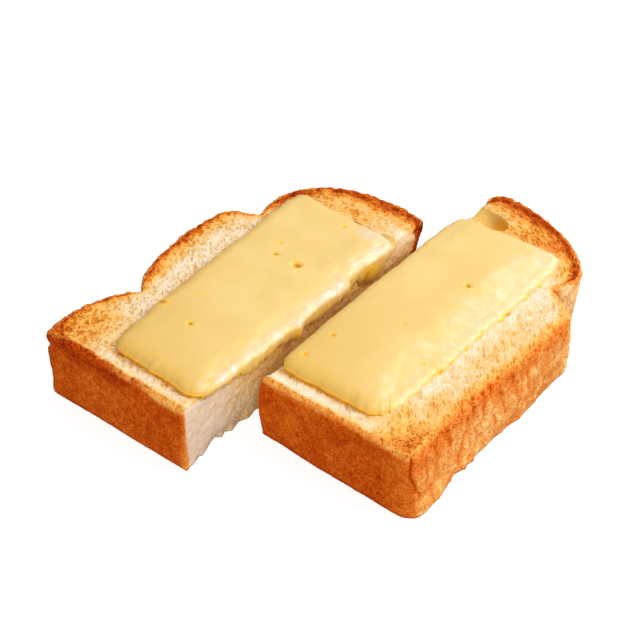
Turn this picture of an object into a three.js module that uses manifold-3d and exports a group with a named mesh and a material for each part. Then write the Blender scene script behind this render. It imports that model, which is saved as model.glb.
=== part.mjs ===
// Cheese toast: a thick slice of open-topped white loaf, cut in two from its foot to its domed top,
// each half toasted under a slab of melted cheese. The halves lie side by side as they were cut, the
// right one slid back. Millimetres, +Z up, +Y from the flat foot to the dome, +X from left half to right.

import * as THREE from "three";
import { mergeVertices } from "three/addons/utils/BufferGeometryUtils.js";
import Module from "manifold-3d";

const wasm = await Module();
wasm.setup();

// ---- Driving dimensions ---------------------------------------------------------------------------

const THICKNESS = 25.7; // slice, underside to crust rim
const GAP = 9.6; // between the two cut faces
const SLIDE = 28; // right half behind the left one
const CRUMB_SINK = 0.6; // toasted crumb below the crust rim
const CHEESE_THICKNESS = 4;
const CLEARANCE = 0.3; // between pieces that touch

const RIM_SPACING = 3.6; // length of a facet along the crust
const OVERCUT = 6; // bread on the far side of the knife before it cuts
const CORE = [15, 62]; // middle that the rings of the crumb shrink to, [out from the cut, up the slice]

// Crust wall from the underside to the rim: how far it stands out from the rim's outline at the flat
// foot, along each half's side, and at the dome, which leans in. [height, foot, left, right, dome].
const WALL = [
  [0, -0.5, -3, -0.5, -2.6],
  [1.3, 0, -1.8, 0.5, -2.1],
  [5, 0.3, -0.3, 1.3, -1.7],
  [10.5, 0.4, 0.8, 1.5, -1.2],
  [16.5, 0.3, 0.9, 1, -0.5],
  [21.5, 0.1, 0.5, 0.4, -0.1],
  [24.8, 0, 0, 0, 0],
  [THICKNESS, -0.5, -0.5, -0.5, -0.5],
];
const WALL_RIPPLE = 0.35;
const BITE = { depth: 2.4, height: 6 }; // crumb broken away along the lower edge of each cut
const FLARE_LENGTH = 6; // how far up the cut its foot corner stands proud
const TEAR = 0.22; // waves of the torn crumb on the cut faces
const KNIFE = { width: 18, length: 150, margin: 4, steps: 46, layers: 7 };
const TOE = { reach: 1.8, up: 10, length: 7.5, height: 9 }; // right half's crust spreads by its foot

// Crumb from the rim inwards: [share of the way out from the core, share of the sink].
const CRUMB_RINGS = [
  [0.955, 0.6],
  [0.88, 1],
  [0.6, 1],
  [0.3, 1],
];

// Each half: places on the rim's outline, which runs from the foot of the cut round to the top of it,
// as [out from the cut, up the slice]. side is -1 for a half that lies to the left of its cut.
const LEFT = {
  side: -1,
  cutAt: 0,
  cutFlare: 1,
  slide: 0,
  footWidth: 57.9,
  footCorner: [60.7, 2.8],
  lowBulge: [62.8, 22],
  lowNotch: [51.1, 35.8],
  widest: [60.9, 72],
  shoulder: [51.5, 90.9],
  highNotch: [47.8, 94.5],
  domeSide: [45, 116.5],
  domeTop: [24, 127.7],
  cutTop: [5, 128.2],
  cutTopEnd: [0, 124.9],
};
const RIGHT = {
  side: 1,
  cutAt: GAP,
  cutFlare: 1.8,
  slide: SLIDE,
  footWidth: 57.6,
  footCorner: [60.2, 2.6],
  waist: [58.2, 33],
  widest: [59.9, 60],
  shoulder: [58.9, 88.2],
  highNotch: [46, 97.5],
  domeSide: [50.7, 108.3],
  domeTop: [31, 124.5],
  cutTop: [5, 129.8],
  cutTopEnd: [0, 124.5],
};

// Air bubble that the knife opened at the dome end of the right half: middle, radii and turn.
const BUBBLE = { out: 6.6, up: 116.4, radii: [7.2, 4.6, 7.5], turn: -0.55 };

// Cheese slabs, corners at the base: [across, up the slice], foot cut, foot side, dome side, dome cut.
const LEFT_CHEESE = [
  [2.3, 6],
  [-38.6, 7.2],
  [-46.9, 111.2],
  [2.2, 108.6],
];
const RIGHT_CHEESE = [
  [-0.3, 6.6],
  [43.2, 8.8],
  [40.2, 110],
  [-2.1, 108.4],
];
const CHEESE_SQUARENESS = 13; // power of the rounded square that both slabs are stretched from
const CHEESE_WAVE = 0.4;
const CHEESE_FACETS = 76; // round the slab

// Slab's section from its base to its middle: [share of the way out, share of the thickness].
const CHEESE_PROFILE = [
  [0.982, 0],
  [1, 0.28],
  [0.998, 0.6],
  [0.978, 0.86],
  [0.94, 0.96],
  [0.75, 1],
  [0.4, 1.02],
];

// Holes in the cheese: [across, up the slice, radius].
const LEFT_HOLES = [
  [-16.5, 76.4, 1.5],
  [-24.1, 30.5, 0.9],
  [-25.9, 76.5, 0.8],
];
const RIGHT_HOLES = [
  [25.8, 76.4, 1.1],
  [6.6, 27.8, 0.8],
];
const HOLE_DEPTH = 1.6;

// Cheese that ran down the left half's cut face, and its tongues: [up the slice, reach, half width].
const SKIRT_TONGUES = [
  [97.5, 8.5, 5.4],
  [83, 7, 5.6],
  [66, 4.5, 7],
  [44, 4, 9],
  [20, 3.4, 9],
];
const SKIRT = { from: 10, to: 106, fade: 7, thickness: 2, edge: 1.5 };

const { lerp, smoothstep } = THREE.MathUtils;

// ---- Solids ---------------------------------------------------------------------------------------

// A closed solid from any geometry whose faces point out.
function solid(geometry) {
  const bare = geometry.clone();
  bare.deleteAttribute("normal");
  bare.deleteAttribute("uv");
  const merged = mergeVertices(bare, 1e-4);
  return new wasm.Manifold(
    new wasm.Mesh({
      numProp: 3,
      vertProperties: merged.attributes.position.array,
      triVerts: new Uint32Array(merged.index.array),
    }),
  );
}

// The geometry of a finished solid, flat shaded.
function geometryOf(manifold) {
  const { vertProperties, triVerts } = manifold.getMesh();
  const geometry = new THREE.BufferGeometry();
  geometry.setAttribute("position", new THREE.BufferAttribute(vertProperties, 3));
  geometry.setIndex(new THREE.BufferAttribute(triVerts, 1));
  const flat = geometry.toNonIndexed();
  flat.computeVertexNormals();
  return flat;
}

// A closed skin over rings of points that all have the same count and run anticlockwise seen from
// above, lowest ring first. The first and last rings are closed by fans round their own poles.
function skin(rings, lowPole, highPole) {
  const count = rings[0].length;
  const positions = [lowPole, ...rings.flat(), highPole].flat();
  const high = 1 + rings.length * count;
  const at = (ring, i) => 1 + ring * count + (i % count);
  const faces = [];
  for (let i = 0; i < count; i++) {
    faces.push(0, at(0, i + 1), at(0, i));
    for (let r = 0; r + 1 < rings.length; r++) {
      faces.push(at(r, i), at(r, i + 1), at(r + 1, i + 1));
      faces.push(at(r, i), at(r + 1, i + 1), at(r + 1, i));
    }
    faces.push(at(rings.length - 1, i), at(rings.length - 1, i + 1), high);
  }
  const geometry = new THREE.BufferGeometry();
  geometry.setAttribute("position", new THREE.Float32BufferAttribute(positions, 3));
  geometry.setIndex(faces);
  return geometry;
}

// ---- Bread ----------------------------------------------------------------------------------------

// Left half's rim: a bulge, a deep notch where two humps of the loaf met, a second hump and the dome.
// The bare pairs are the handles that give each curve its fullness.
function leftRim(h) {
  return new THREE.Path()
    .moveTo(0, 0)
    .lineTo(h.footWidth, 0)
    .quadraticCurveTo(h.footCorner[0], 0, ...h.footCorner)
    .quadraticCurveTo(...h.lowBulge, ...h.lowNotch)
    .bezierCurveTo(55.5, 41, 60.3, 57, ...h.widest)
    .bezierCurveTo(61.3, 84, 58.5, 90.5, ...h.shoulder)
    .lineTo(...h.highNotch)
    .bezierCurveTo(50, 101, 50.5, 110, ...h.domeSide)
    .bezierCurveTo(40, 122, 33, 126.5, ...h.domeTop)
    .bezierCurveTo(18, 128.6, 10, 129, ...h.cutTop)
    .bezierCurveTo(2.5, 127.9, 0.6, 126.8, ...h.cutTopEnd);
}

// Right half's rim: a nearly straight side, a shoulder that runs in to one notch, and the dome.
// The bare pairs are handles here too.
function rightRim(h) {
  return new THREE.Path()
    .moveTo(0, 0)
    .lineTo(h.footWidth, 0)
    .quadraticCurveTo(h.footCorner[0], 0, ...h.footCorner)
    .quadraticCurveTo(58.4, 20, ...h.waist)
    .quadraticCurveTo(58.3, 50, ...h.widest)
    .bezierCurveTo(59.6, 70, 60.2, 84, ...h.shoulder)
    .quadraticCurveTo(57.4, 91.3, ...h.highNotch)
    .bezierCurveTo(49.5, 101, 51.5, 105, ...h.domeSide)
    .bezierCurveTo(49.5, 114, 39.5, 121, ...h.domeTop)
    .bezierCurveTo(22, 128, 12, 130.8, ...h.cutTop)
    .bezierCurveTo(2, 129.3, 0.2, 127.5, ...h.cutTopEnd);
}

// Points along a path about RIM_SPACING apart, each curve's own ends kept, so notches stay sharp.
function pointsAlong(path) {
  const points = [path.curves[0].getPoint(0)];
  for (const curve of path.curves) {
    const pieces = Math.max(2, Math.round(curve.getLength() / RIM_SPACING));
    points.push(...curve.getSpacedPoints(pieces).slice(1));
  }
  return points;
}

// The rim carried on past the cut, so that the knife has bread to cut away.
function closedRim(path) {
  const crust = pointsAlong(path);
  const last = crust[crust.length - 1];
  return [...crust, new THREE.Vector2(-OVERCUT, last.y - OVERCUT / 2), new THREE.Vector2(-OVERCUT, 0)];
}

// Outward normals of a closed anticlockwise ring of 2-D points.
function outwardNormals(ring) {
  return ring.map((point, i) => {
    const before = ring[(i + ring.length - 1) % ring.length];
    const after = ring[(i + 1) % ring.length];
    return new THREE.Vector2(after.y - before.y, before.x - after.x).normalize();
  });
}

// How much further the right half's crust spreads near the foot, low down.
function toe(up, z) {
  return TOE.reach * Math.exp(-(((up - TOE.up) / TOE.length) ** 2)) * Math.max(0, 1 - z / TOE.height);
}

// A half of the slice before the knife: the rim's outline swells down the wall, closes flat underneath
// and, on top, steps down a little to the crumb.
function loafHalf(half, path) {
  const rim = closedRim(path);
  const normals = outwardNormals(rim);
  const [coreOut, coreUp] = CORE;
  const place = (out, up, z) => [half.cutAt + half.side * out, half.slide + up, z];
  const wallRings = WALL.map(([z, foot, left, right, dome]) =>
    rim.map((point, i) => {
      const free = z > 0 && z < THICKNESS ? 1 : 0;
      const ripple = free * WALL_RIPPLE * Math.sin(i * 1.7 + z * 0.35) * Math.cos(i * 0.6 - z * 0.2);
      const footShare = smoothstep(-normals[i].y, 0.3, 0.9);
      const domeShare = smoothstep(point.y, half.highNotch[1] - 3, half.highNotch[1] + 5);
      const side = half.side < 0 ? left : right + toe(point.y, z);
      const off = lerp(lerp(side, foot, footShare), dome, domeShare) + ripple;
      return place(point.x + normals[i].x * off, point.y + normals[i].y * off, z);
    }),
  );
  const crumbRings = CRUMB_RINGS.map(([share, sunk]) =>
    rim.map((point) =>
      place(lerp(coreOut, point.x, share), lerp(coreUp, point.y, share), THICKNESS - sunk * CRUMB_SINK),
    ),
  );
  const rings = [...wallRings, ...crumbRings];
  if (half.side < 0) rings.forEach((ring) => ring.reverse());
  return solid(skin(rings, place(coreOut, coreUp, 0), place(coreOut, coreUp, THICKNESS - CRUMB_SINK)));
}

// What the knife takes off: a block whose face along the cut waves with the torn crumb, stands off the
// foot corner, and eats further in along the lower edge, where the crumb broke away in bites.
function knife(half) {
  const { width, length, margin, steps, layers } = KNIFE;
  const block = new THREE.BoxGeometry(width, length, THICKNESS + 2 * margin, 1, steps, layers);
  const position = block.attributes.position;
  for (let i = 0; i < position.count; i++) {
    const onFace = position.getX(i) > 0;
    const up = position.getY(i) + CORE[1];
    const z = position.getZ(i) + THICKNESS / 2;
    const tear = TEAR * Math.sin(up * 0.9 + z * 0.5) * Math.cos(up * 0.31 - z * 0.4);
    const low = smoothstep(BITE.height - z, 0, BITE.height) * smoothstep(up, 2, BITE.height);
    const bite = low * BITE.depth * (0.5 + 0.5 * Math.sin(up * 0.62 + 1.2) * Math.sin(up * 0.19));
    const nearFoot = Math.exp(-((up / FLARE_LENGTH) ** 2));
    const flare = half.cutFlare * nearFoot * Math.sin((Math.PI * z) / THICKNESS);
    const reach = onFace ? tear + bite - flare : position.getX(i) - width / 2;
    position.setXYZ(i, half.cutAt + half.side * reach, half.slide + up, z);
  }
  if (half.side < 0) turnFaces(block);
  return solid(block);
}

// Turns every face of a mirrored geometry the right way out again.
function turnFaces(geometry) {
  const index = geometry.index.array;
  for (let i = 0; i < index.length; i += 3) {
    [index[i + 1], index[i + 2]] = [index[i + 2], index[i + 1]];
  }
}

// The bubble at the right half's dome, open to the top and to the cut.
function bubble(half) {
  const ball = new THREE.SphereGeometry(1, 18, 12);
  ball.scale(...BUBBLE.radii);
  ball.rotateZ(BUBBLE.turn);
  ball.translate(half.cutAt + BUBBLE.out, half.slide + BUBBLE.up, THICKNESS - 0.5);
  return solid(ball);
}

// ---- Cheese ---------------------------------------------------------------------------------------

// Point a share of the way round a square of half side 1 whose corners are rounded: a point that walks
// round the plain square is pulled in to where the powers of its two coordinates add up to 1.
function roundedSquare(share) {
  const corners = [[1, -1], [1, 1], [-1, 1], [-1, -1], [1, -1]];
  const side = Math.floor(share * 4);
  const along = share * 4 - side;
  const x = lerp(corners[side][0], corners[side + 1][0], along);
  const y = lerp(corners[side][1], corners[side + 1][1], along);
  const n = CHEESE_SQUARENESS;
  const size = (Math.abs(x) ** n + Math.abs(y) ** n) ** (1 / n);
  return [x / size, y / size];
}

// Slab of cheese: a rounded square is stretched over the four corners at the base; rings of it run
// from the base out over a swollen edge and in again over the top, which sags a little to its rim.
function cheeseSlab(corners) {
  const base = THICKNESS - CRUMB_SINK + CLEARANCE;
  const [a, b, c, d] = corners.map((corner) => new THREE.Vector2(...corner));
  const onSlab = (across, along) => {
    const foot = a.clone().lerp(b, (1 + across) / 2);
    const dome = d.clone().lerp(c, (1 + across) / 2);
    return foot.lerp(dome, (1 + along) / 2);
  };
  const middle = onSlab(0, 0);
  const ring = ([share, height]) =>
    Array.from({ length: CHEESE_FACETS }, (_, i) => {
      const [across, along] = roundedSquare(i / CHEESE_FACETS);
      const point = onSlab(share * across, share * along);
      const wave = share > 0.9 ? CHEESE_WAVE * Math.sin(i * 1.1) * Math.cos(i * 0.37) : 0;
      const outward = point.clone().sub(middle).normalize().multiplyScalar(wave);
      return [point.x + outward.x, point.y + outward.y, base + height * CHEESE_THICKNESS];
    });
  const rings = CHEESE_PROFILE.map(ring);
  const clockwise = (b.x - a.x) * (d.y - a.y) - (b.y - a.y) * (d.x - a.x) < 0;
  if (clockwise) rings.forEach((points) => points.reverse());
  const crown = base + CHEESE_PROFILE.at(-1)[1] * CHEESE_THICKNESS;
  return solid(skin(rings, [middle.x, middle.y, base], [middle.x, middle.y, crown]));
}

// Holes that bubbles left in the top of a slab.
function pierce(slab, holes, half) {
  const top = THICKNESS - CRUMB_SINK + CLEARANCE + CHEESE_THICKNESS;
  return holes.reduce((cheese, [across, up, radius]) => {
    const ball = new THREE.SphereGeometry(1, 8, 6);
    ball.scale(radius, radius, HOLE_DEPTH);
    ball.translate(half.cutAt + across, half.slide + up, top);
    return cheese.subtract(solid(ball));
  }, slab);
}

// How far the run cheese hangs below the rim, up the slice.
function skirtReach(up) {
  return SKIRT_TONGUES.reduce(
    (reach, [middle, depth, halfWidth]) => reach + depth * Math.exp(-(((up - middle) / halfWidth) ** 2)),
    SKIRT.edge,
  );
}

// Cheese run over the left half's cut edge: a sheet that starts inside the slab's overhanging edge and
// hangs down the cut face with tongues along its lower edge, thin at both ends.
function skirt() {
  const { from, to, fade, thickness } = SKIRT;
  const topZ = THICKNESS - CRUMB_SINK + CLEARANCE + 0.55 * CHEESE_THICKNESS;
  const block = new THREE.BoxGeometry(1, 1, 1, 2, 52, 4);
  const position = block.attributes.position;
  for (let i = 0; i < position.count; i++) {
    const up = lerp(from, to, position.getY(i) + 0.5);
    const down = 0.5 - position.getZ(i);
    const outside = position.getX(i) + 0.5;
    const full = smoothstep(Math.min(up - from, to - up), 0, fade);
    const z = topZ - down * (topZ - THICKNESS + lerp(0, skirtReach(up), full));
    const belly = (1 + 0.35 * Math.sin(Math.PI * down)) * (1 - 0.45 * down ** 4);
    position.setXYZ(i, CLEARANCE + 0.4 + outside * belly * lerp(0.4, 1, full) * thickness, up, z);
  }
  return solid(block);
}

// ---- Assembly -------------------------------------------------------------------------------------

const BREAD_MATERIAL = { color: 0xe0a55c, roughness: 0.85, metalness: 0 };
const CHEESE_MATERIAL = { color: 0xf5d283, roughness: 0.35, metalness: 0 };

function mesh(name, manifold, material) {
  const piece = new THREE.Mesh(geometryOf(manifold), new THREE.MeshStandardMaterial(material));
  piece.name = name;
  return piece;
}

const leftBread = loafHalf(LEFT, leftRim(LEFT)).subtract(knife(LEFT));
const rightBread = loafHalf(RIGHT, rightRim(RIGHT)).subtract(knife(RIGHT)).subtract(bubble(RIGHT));
const place = (half) => ([across, up]) => [half.cutAt + across, half.slide + up];
const leftCheese = pierce(cheeseSlab(LEFT_CHEESE.map(place(LEFT))).add(skirt()), LEFT_HOLES, LEFT);
const rightCheese = pierce(cheeseSlab(RIGHT_CHEESE.map(place(RIGHT))), RIGHT_HOLES, RIGHT);

const toast = new THREE.Group();
toast.add(
  mesh("left_bread", leftBread, BREAD_MATERIAL),
  mesh("left_cheese", leftCheese, CHEESE_MATERIAL),
  mesh("right_bread", rightBread, BREAD_MATERIAL),
  mesh("right_cheese", rightCheese, CHEESE_MATERIAL),
);

// Origin under the middle of the whole.
const middle = new THREE.Box3().setFromObject(toast).getCenter(new THREE.Vector3());
toast.position.set(-middle.x, -middle.y, 0);

export default toast;
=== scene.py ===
"""Cheese toast: two halves of a thick slice of open-topped loaf, each toasted under melted cheese.

Every surface is worked out in millimetres in the slice's own frame: the left half's cut face is the
plane x = 0, the flat foot of its crust is y = 0 and the table is z = 0. `to_row` carries it to the
part's frame in metres. On either half "out" is the distance from its cut and "up" runs from the foot
of the slice to its dome.
"""

import itertools
from types import SimpleNamespace

import bpy
import numpy as np
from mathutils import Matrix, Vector


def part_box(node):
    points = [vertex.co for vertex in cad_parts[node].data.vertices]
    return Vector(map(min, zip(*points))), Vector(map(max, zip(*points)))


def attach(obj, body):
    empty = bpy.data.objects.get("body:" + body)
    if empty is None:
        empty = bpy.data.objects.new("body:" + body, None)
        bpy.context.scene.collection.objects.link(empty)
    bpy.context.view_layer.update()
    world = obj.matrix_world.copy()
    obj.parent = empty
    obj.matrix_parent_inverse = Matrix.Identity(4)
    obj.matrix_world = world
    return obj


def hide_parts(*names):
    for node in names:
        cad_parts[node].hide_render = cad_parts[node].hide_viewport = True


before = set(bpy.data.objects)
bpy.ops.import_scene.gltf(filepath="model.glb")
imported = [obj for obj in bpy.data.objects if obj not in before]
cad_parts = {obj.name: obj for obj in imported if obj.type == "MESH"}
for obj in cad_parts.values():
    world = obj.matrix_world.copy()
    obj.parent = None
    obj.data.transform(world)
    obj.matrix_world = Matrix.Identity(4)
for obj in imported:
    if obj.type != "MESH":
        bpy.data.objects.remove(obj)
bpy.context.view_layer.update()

MM = 0.001

# ---- Driving dimensions, millimetres ---------------------------------------------------------------

THICKNESS = 25.7  # slice, underside to crust rim
GAP = 9.6  # between the two cut faces
SLIDE = 28.0  # right half behind the left one
CRUMB_SINK = 0.5  # toasted crumb below the crust rim
CUT_FLARE = 0.91  # how far the left half's foot corner stands proud of its cut face
FOOT_SWELL = 0.71  # how far the crust stands proud of the foot line

# Crust wall: [height, stand-off from the rim's outline at the foot, left side, right side, dome].
WALL = np.array([
    [0, 0.5, -2.7, 0.0, -2.3],
    [1.3, 0.9, -1.5, 0.9, -1.8],
    [5.0, 0.8, 0.1, 1.6, -1.3],
    [10.5, 0.6, 1.2, 1.7, -0.8],
    [16.5, 0.4, 1.5, 1.2, 0.1],
    [21.5, 0.2, 1.3, 0.6, 0.7],
    [24.9, 0.1, 1.0, 0.3, 0.9],
    [THICKNESS, 0.0, 0.9, 0.2, 0.9],
])
ROUNDING = dict(foot=2.3, left=1.6, right=3.0, dome=1.5)  # radius of the crust's top edge

# Each half's rim, from the foot of the cut round to the top of it: lists of the points that steer
# one straight, quadratic or cubic curve each, as (out, up).
LEFT = dict(
    name="left", side=-1, cut=0.0, slide=0.0, flare=1.0, seed=11, dome_from=94.5,
    rim=[
        [(0, 0), (57.9, 0)],
        [(57.9, 0), (60.7, 0), (60.7, 2.8)],
        [(60.7, 2.8), (63.4, 22.5), (51.1, 35.8)],
        [(51.1, 35.8), (57.2, 40), (61.1, 56), (61.1, 72)],
        [(60.9, 72), (61.3, 84), (58.5, 90.5), (51.5, 90.9)],
        [(51.5, 90.9), (47.8, 94.5)],
        [(47.8, 94.5), (50, 101), (50.5, 110), (45, 116.5)],
        [(45, 116.5), (40, 122), (33, 126.5), (24, 127.7)],
        [(24, 127.7), (18, 128.6), (10, 129), (5, 128.2)],
        [(5, 128.2), (2.5, 127.9), (0.6, 126.8), (0, 124.9)],
    ],
    notches=[(51.1, 35.8), (48.6, 93.2)],
    hidden=[(0, 9.5), (38.0, 10.5), (43.0, 108.0), (0, 105.5)],
    melt=[(0, 6.2), (40.0, 7.6), (45.5, 111.3)],  # outline of the cheese on the crumb
    # The crumb's cells: size across, the way they are drawn out (out, up), how many times as long as
    # wide against the place along that way, and the same two sizes by the dome's rim.
    cell=1.55, drawn_way=(0.63, 0.777), drawn=([-30, 0], [1.2, 1.4]), rim_cell=1.4, rim_drawn=2.2,
    # Toasted patches of the crumb: out, up, reach across, reach along, strength.
    toast=[
        (60, 3, 8, 10, 0.74), (55, 12, 13, 15, 0.49), (60, 27, 7, 15, 0.52), (61, 66, 7, 27, 0.56),
        (56, 46, 4.5, 11, 0.48), (22, 127, 36, 8, 0.64), (50, 60, 30, 60, 0.07), (20, 4, 50, 8, 0.04),
        (46, 110, 8, 15, 0.55), (58, 84, 8, 8, 0.34), (30, 117, 28, 10, 0.40), (26, 106, 34, 9, 0.16),
    ],
    # Smooth hollow in the top by the cheese's far corner, and how strongly it is glazed.
    hollow=dict(middle=(3.4, 111.6), radii=(4.6, 2.2), depth=0.9, turn=0.1, glaze=0.6),
)
RIGHT = dict(
    name="right", side=1, cut=GAP, slide=SLIDE, flare=1.8, seed=23, dome_from=97.5,
    rim=[
        [(0, 0), (56.0, 0)],
        [(56.0, 0), (60.3, 0), (60.3, 4.4)],
        [(60.3, 4.4), (58.4, 20), (58.2, 33)],
        [(58.2, 33), (58.3, 50), (59.9, 60)],
        [(59.9, 60), (59.6, 70), (60.4, 84), (59.2, 88.6)],
        [(59.2, 88.6), (57.8, 92.0), (46, 97.5)],
        [(46, 97.5), (48.5, 100.8), (50.2, 104.8), (49.6, 108.0)],
        [(49.6, 108.0), (48.7, 113.4), (39.5, 120.8), (31, 124.6)],
        [(31, 124.6), (22, 128), (12, 130.8), (5, 129.8)],
        [(5, 129.8), (2, 129.3), (0.2, 127.5), (0, 124.5)],
    ],
    notches=[(46, 97.5)],
    hidden=[(0, 9.5), (37.0, 11.0), (37.0, 106.0), (0, 105.5)],
    melt=[(0, 6.6), (42.4, 8.2), (41.8, 111.4)],
    cell=1.12, drawn_way=(-0.63, 0.777), drawn=([-34, -8], [1.2, 3.4]), rim_cell=1.35, rim_drawn=3.0,
    toast=[
        (56, 6, 15, 16, 0.61), (62, 8, 8, 20, 0.64), (52, 60, 9, 34, 0.25), (61, 36, 8, 34, 0.54),
        (62, 70, 7, 30, 0.54), (22, 129, 32, 10, 0.74), (50, 112, 9, 12, 0.66), (38, 1, 18, 3, 0.28),
        (30, 117, 24, 10, 0.56), (57, 91, 5, 4, 0.22), (46, 14, 8, 10, 0.40), (52, 24, 7, 12, 0.38),
    ],
    # Air bubble by the dome.
    hollow=dict(middle=(5.4, 115.8), radii=(9.6, 4.3), depth=3.6, turn=-0.10, glaze=1),
)

# Left half, foot of the cut face: (up, how far the torn crumb stands proud of the cut).
RAGGED = np.array([
    (0, 0.6), (3.4, 0.5), (6.3, -0.8), (8.5, -0.1), (12.8, -1.7), (17, -2.9), (18.8, -0.9), (21, -2.0),
    (23, -0.5), (28, -1.4), (31, -0.2), (35, -1.0), (40, 0), (46, -1.2), (55, -0.3), (70, -0.9),
    (90, -0.2), (110, -0.6), (128, 0),
])
# Right half, lower edge of the side crust: (up, how far it stands out beyond the wall).
LIP = np.array([
    (0, 0.9), (5, 2.0), (13, 2.2), (20.7, 1.2), (24.8, 0.3), (28.6, 1.5), (29.4, 2.2), (30.4, 1.3),
    (34.3, 1.9), (34.9, 1.1), (42, 0.8), (54, 0), (60, 0), (130, 0),
])
# Folds of the right half's side crust: path of (up, height), half width, depth; negative stands out.
FOLDS = [
    ([(20.4, 23), (20.9, 19.0), (21.4, 16.6)], 0.8, 1.0),
    ([(22.0, 21), (22.3, 15.6), (22.7, 10.5)], 1.7, -0.6),
    ([(30.0, 15), (27.8, 9.9), (26.2, 6.0)], 1.3, 1.3),
    ([(31.9, 20.5), (31.0, 15.6), (29.4, 11.6)], 0.8, 0.9),
    ([(40.9, 24.5), (40.4, 20.1), (40.1, 17.3), (39.0, 14.6)], 0.9, 1.2),
    ([(38.5, 22), (38.1, 17), (36.6, 11)], 1.5, -0.5),
    ([(34.6, 22.5), (34.9, 18.8)], 0.7, 0.8),
    ([(49.2, 19), (50.0, 14.5), (51.4, 9.0)], 0.7, 0.7),
    ([(45.6, 12), (46.2, 8.0)], 0.7, 0.6),
    ([(55.4, 21.5), (55.8, 17.6)], 0.7, 0.8),
    ([(67.6, 22), (68.0, 18.4)], 0.7, 0.7),
    ([(44.3, 25.5), (44.4, 22.4)], 0.9, 1.2),
    ([(49.1, 18), (50.5, 13.5)], 0.7, 0.8),
    ([(62.6, 20), (63.0, 13.2)], 0.7, 0.7),
    ([(73.6, 10.2), (73.0, 6.0)], 0.7, 0.9),
    ([(28.6, 10.5), (27.6, 8.0)], 0.7, 0.6),
    ([(12.8, 22), (13.5, 16), (12.6, 11)], 1.1, 0.5),
    ([(6.9, 21), (7.5, 15), (6.8, 9)], 1.2, 0.4),
    ([(56.6, 18), (57.5, 13), (58.0, 9)], 1.0, 0.45),
]
# Split in the crust at the right half's foot corner: path of (distance along the rim, height).
CRACK = [(59.7, 25.6), (59.5, 22), (59.2, 18), (60.6, 14.4), (60.8, 11.5), (62.1, 10.0), (62.0, 7.5)]
# Small pits of the right half's foot wall: (out, height, radius, depth).
PITS = [(48.0, 11.0, 0.8, 0.8), (48.3, 5.0, 0.7, 0.6), (31, 15, 0.5, 0.4), (14, 9, 0.5, 0.4)]
# Darker patches of the left half's foot wall: (out, height, reach across, reach up and down).
DARK_PATCHES = [(31, 23.9, 9, 2.2), (51, 23.7, 8, 2.6), (40, 22.0, 12, 2.6)]


def to_row(points):
    """Slice frame in millimetres to the part's frame in metres, from where the left bread lies."""
    low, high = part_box("left_bread")
    origin = np.array([high[0] / MM - CUT_FLARE, low[1] / MM + FOOT_SWELL, 0.0])
    return (points + origin) * MM


# ---- Noise and falloffs -----------------------------------------------------------------------------


def scramble(cells, seed):
    """Integer lattice points to repeatable random numbers from 0 to 1."""
    mixed = cells.astype(np.int64) * np.array([73856093, 19349663, 83492791])
    h = (mixed[..., 0] ^ mixed[..., 1] ^ mixed[..., 2] ^ (seed * 2654435761)) & 0xFFFFFFFF
    for _ in range(2):
        h = ((h ^ (h >> 16)) * 0x45D9F3B) & 0xFFFFFFFF
    return ((h ^ (h >> 16)) & 0xFFFFFF) / float(0x1000000)


def cloud(points, seed, octaves=3):
    """Smooth noise about 0, near -1 to 1: lattice values blended along each axis, octaves summed."""
    total = np.zeros(len(points))
    size, height = 1.0, 1.0
    for octave in range(octaves):
        p = points * size + 17.3 * octave
        base = np.floor(p)
        f = p - base
        f = f * f * (3 - 2 * f)
        value = np.zeros(len(points))
        for corner in itertools.product((0, 1), repeat=3):
            c = np.array(corner)
            weight = np.prod(np.where(c == 1, f, 1 - f), axis=1)
            value += weight * scramble(base + c, seed + octave)
        total += (2 * value - 1) * height
        size, height = size * 2.03, height * 0.5
    return total


def noise_at(points, seed):
    """The noise at some points, left to be asked for by its scale, its own number and its octaves."""
    return lambda scale, own, octaves=3: cloud(points * scale, seed + own, octaves)


def cells(points, seed):
    """Cell noise: each lattice cube holds one scattered point. Gives the distance to the nearest and
    to the second nearest scattered point, and a random number that belongs to the nearest."""
    base = np.floor(points)
    first = np.full(len(points), 9.0)
    second = np.full(len(points), 9.0)
    tag = np.zeros(len(points))
    for corner in itertools.product((-1, 0, 1), repeat=3):
        cell = base + np.array(corner)
        spot = cell + np.stack([scramble(cell, seed + k) for k in (1, 2, 3)], -1)
        distance = np.sqrt(((points - spot) ** 2).sum(-1))
        nearer = distance < first
        second = np.where(nearer, first, np.minimum(second, distance))
        tag = np.where(nearer, scramble(cell, seed + 4), tag)
        first = np.where(nearer, distance, first)
    return first, second, tag


def ramp(x, low, high):
    """0 below low, 1 above high, an S curve between; falls instead where high is below low."""
    t = np.clip((x - low) / (high - low), 0, 1)
    return t * t * (3 - 2 * t)


def mound(x, middle, width):
    """Bell curve of height 1."""
    return np.exp(-(((x - middle) / width) ** 2))


def near_path(a, b, path, width):
    """Bell of the distance from (a, b) to a path of straight steps."""
    nearest = np.full(len(a), 1e9)
    for (a0, b0), (a1, b1) in zip(path[:-1], path[1:]):
        da, db = a1 - a0, b1 - b0
        t = np.clip(((a - a0) * da + (b - b0) * db) / (da * da + db * db), 0, 1)
        nearest = np.minimum(nearest, np.hypot(a - a0 - t * da, b - b0 - t * db))
    return np.exp(-((nearest / width) ** 2))


def columns(a, b, c):
    """Three arrays or numbers as the columns of one array of places."""
    return np.stack(np.broadcast_arrays(a, b, c), -1)


def in_range(masks):
    """The masks held to 0 to 1."""
    return {name: np.clip(values, 0, 1) for name, values in masks.items()}


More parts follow.
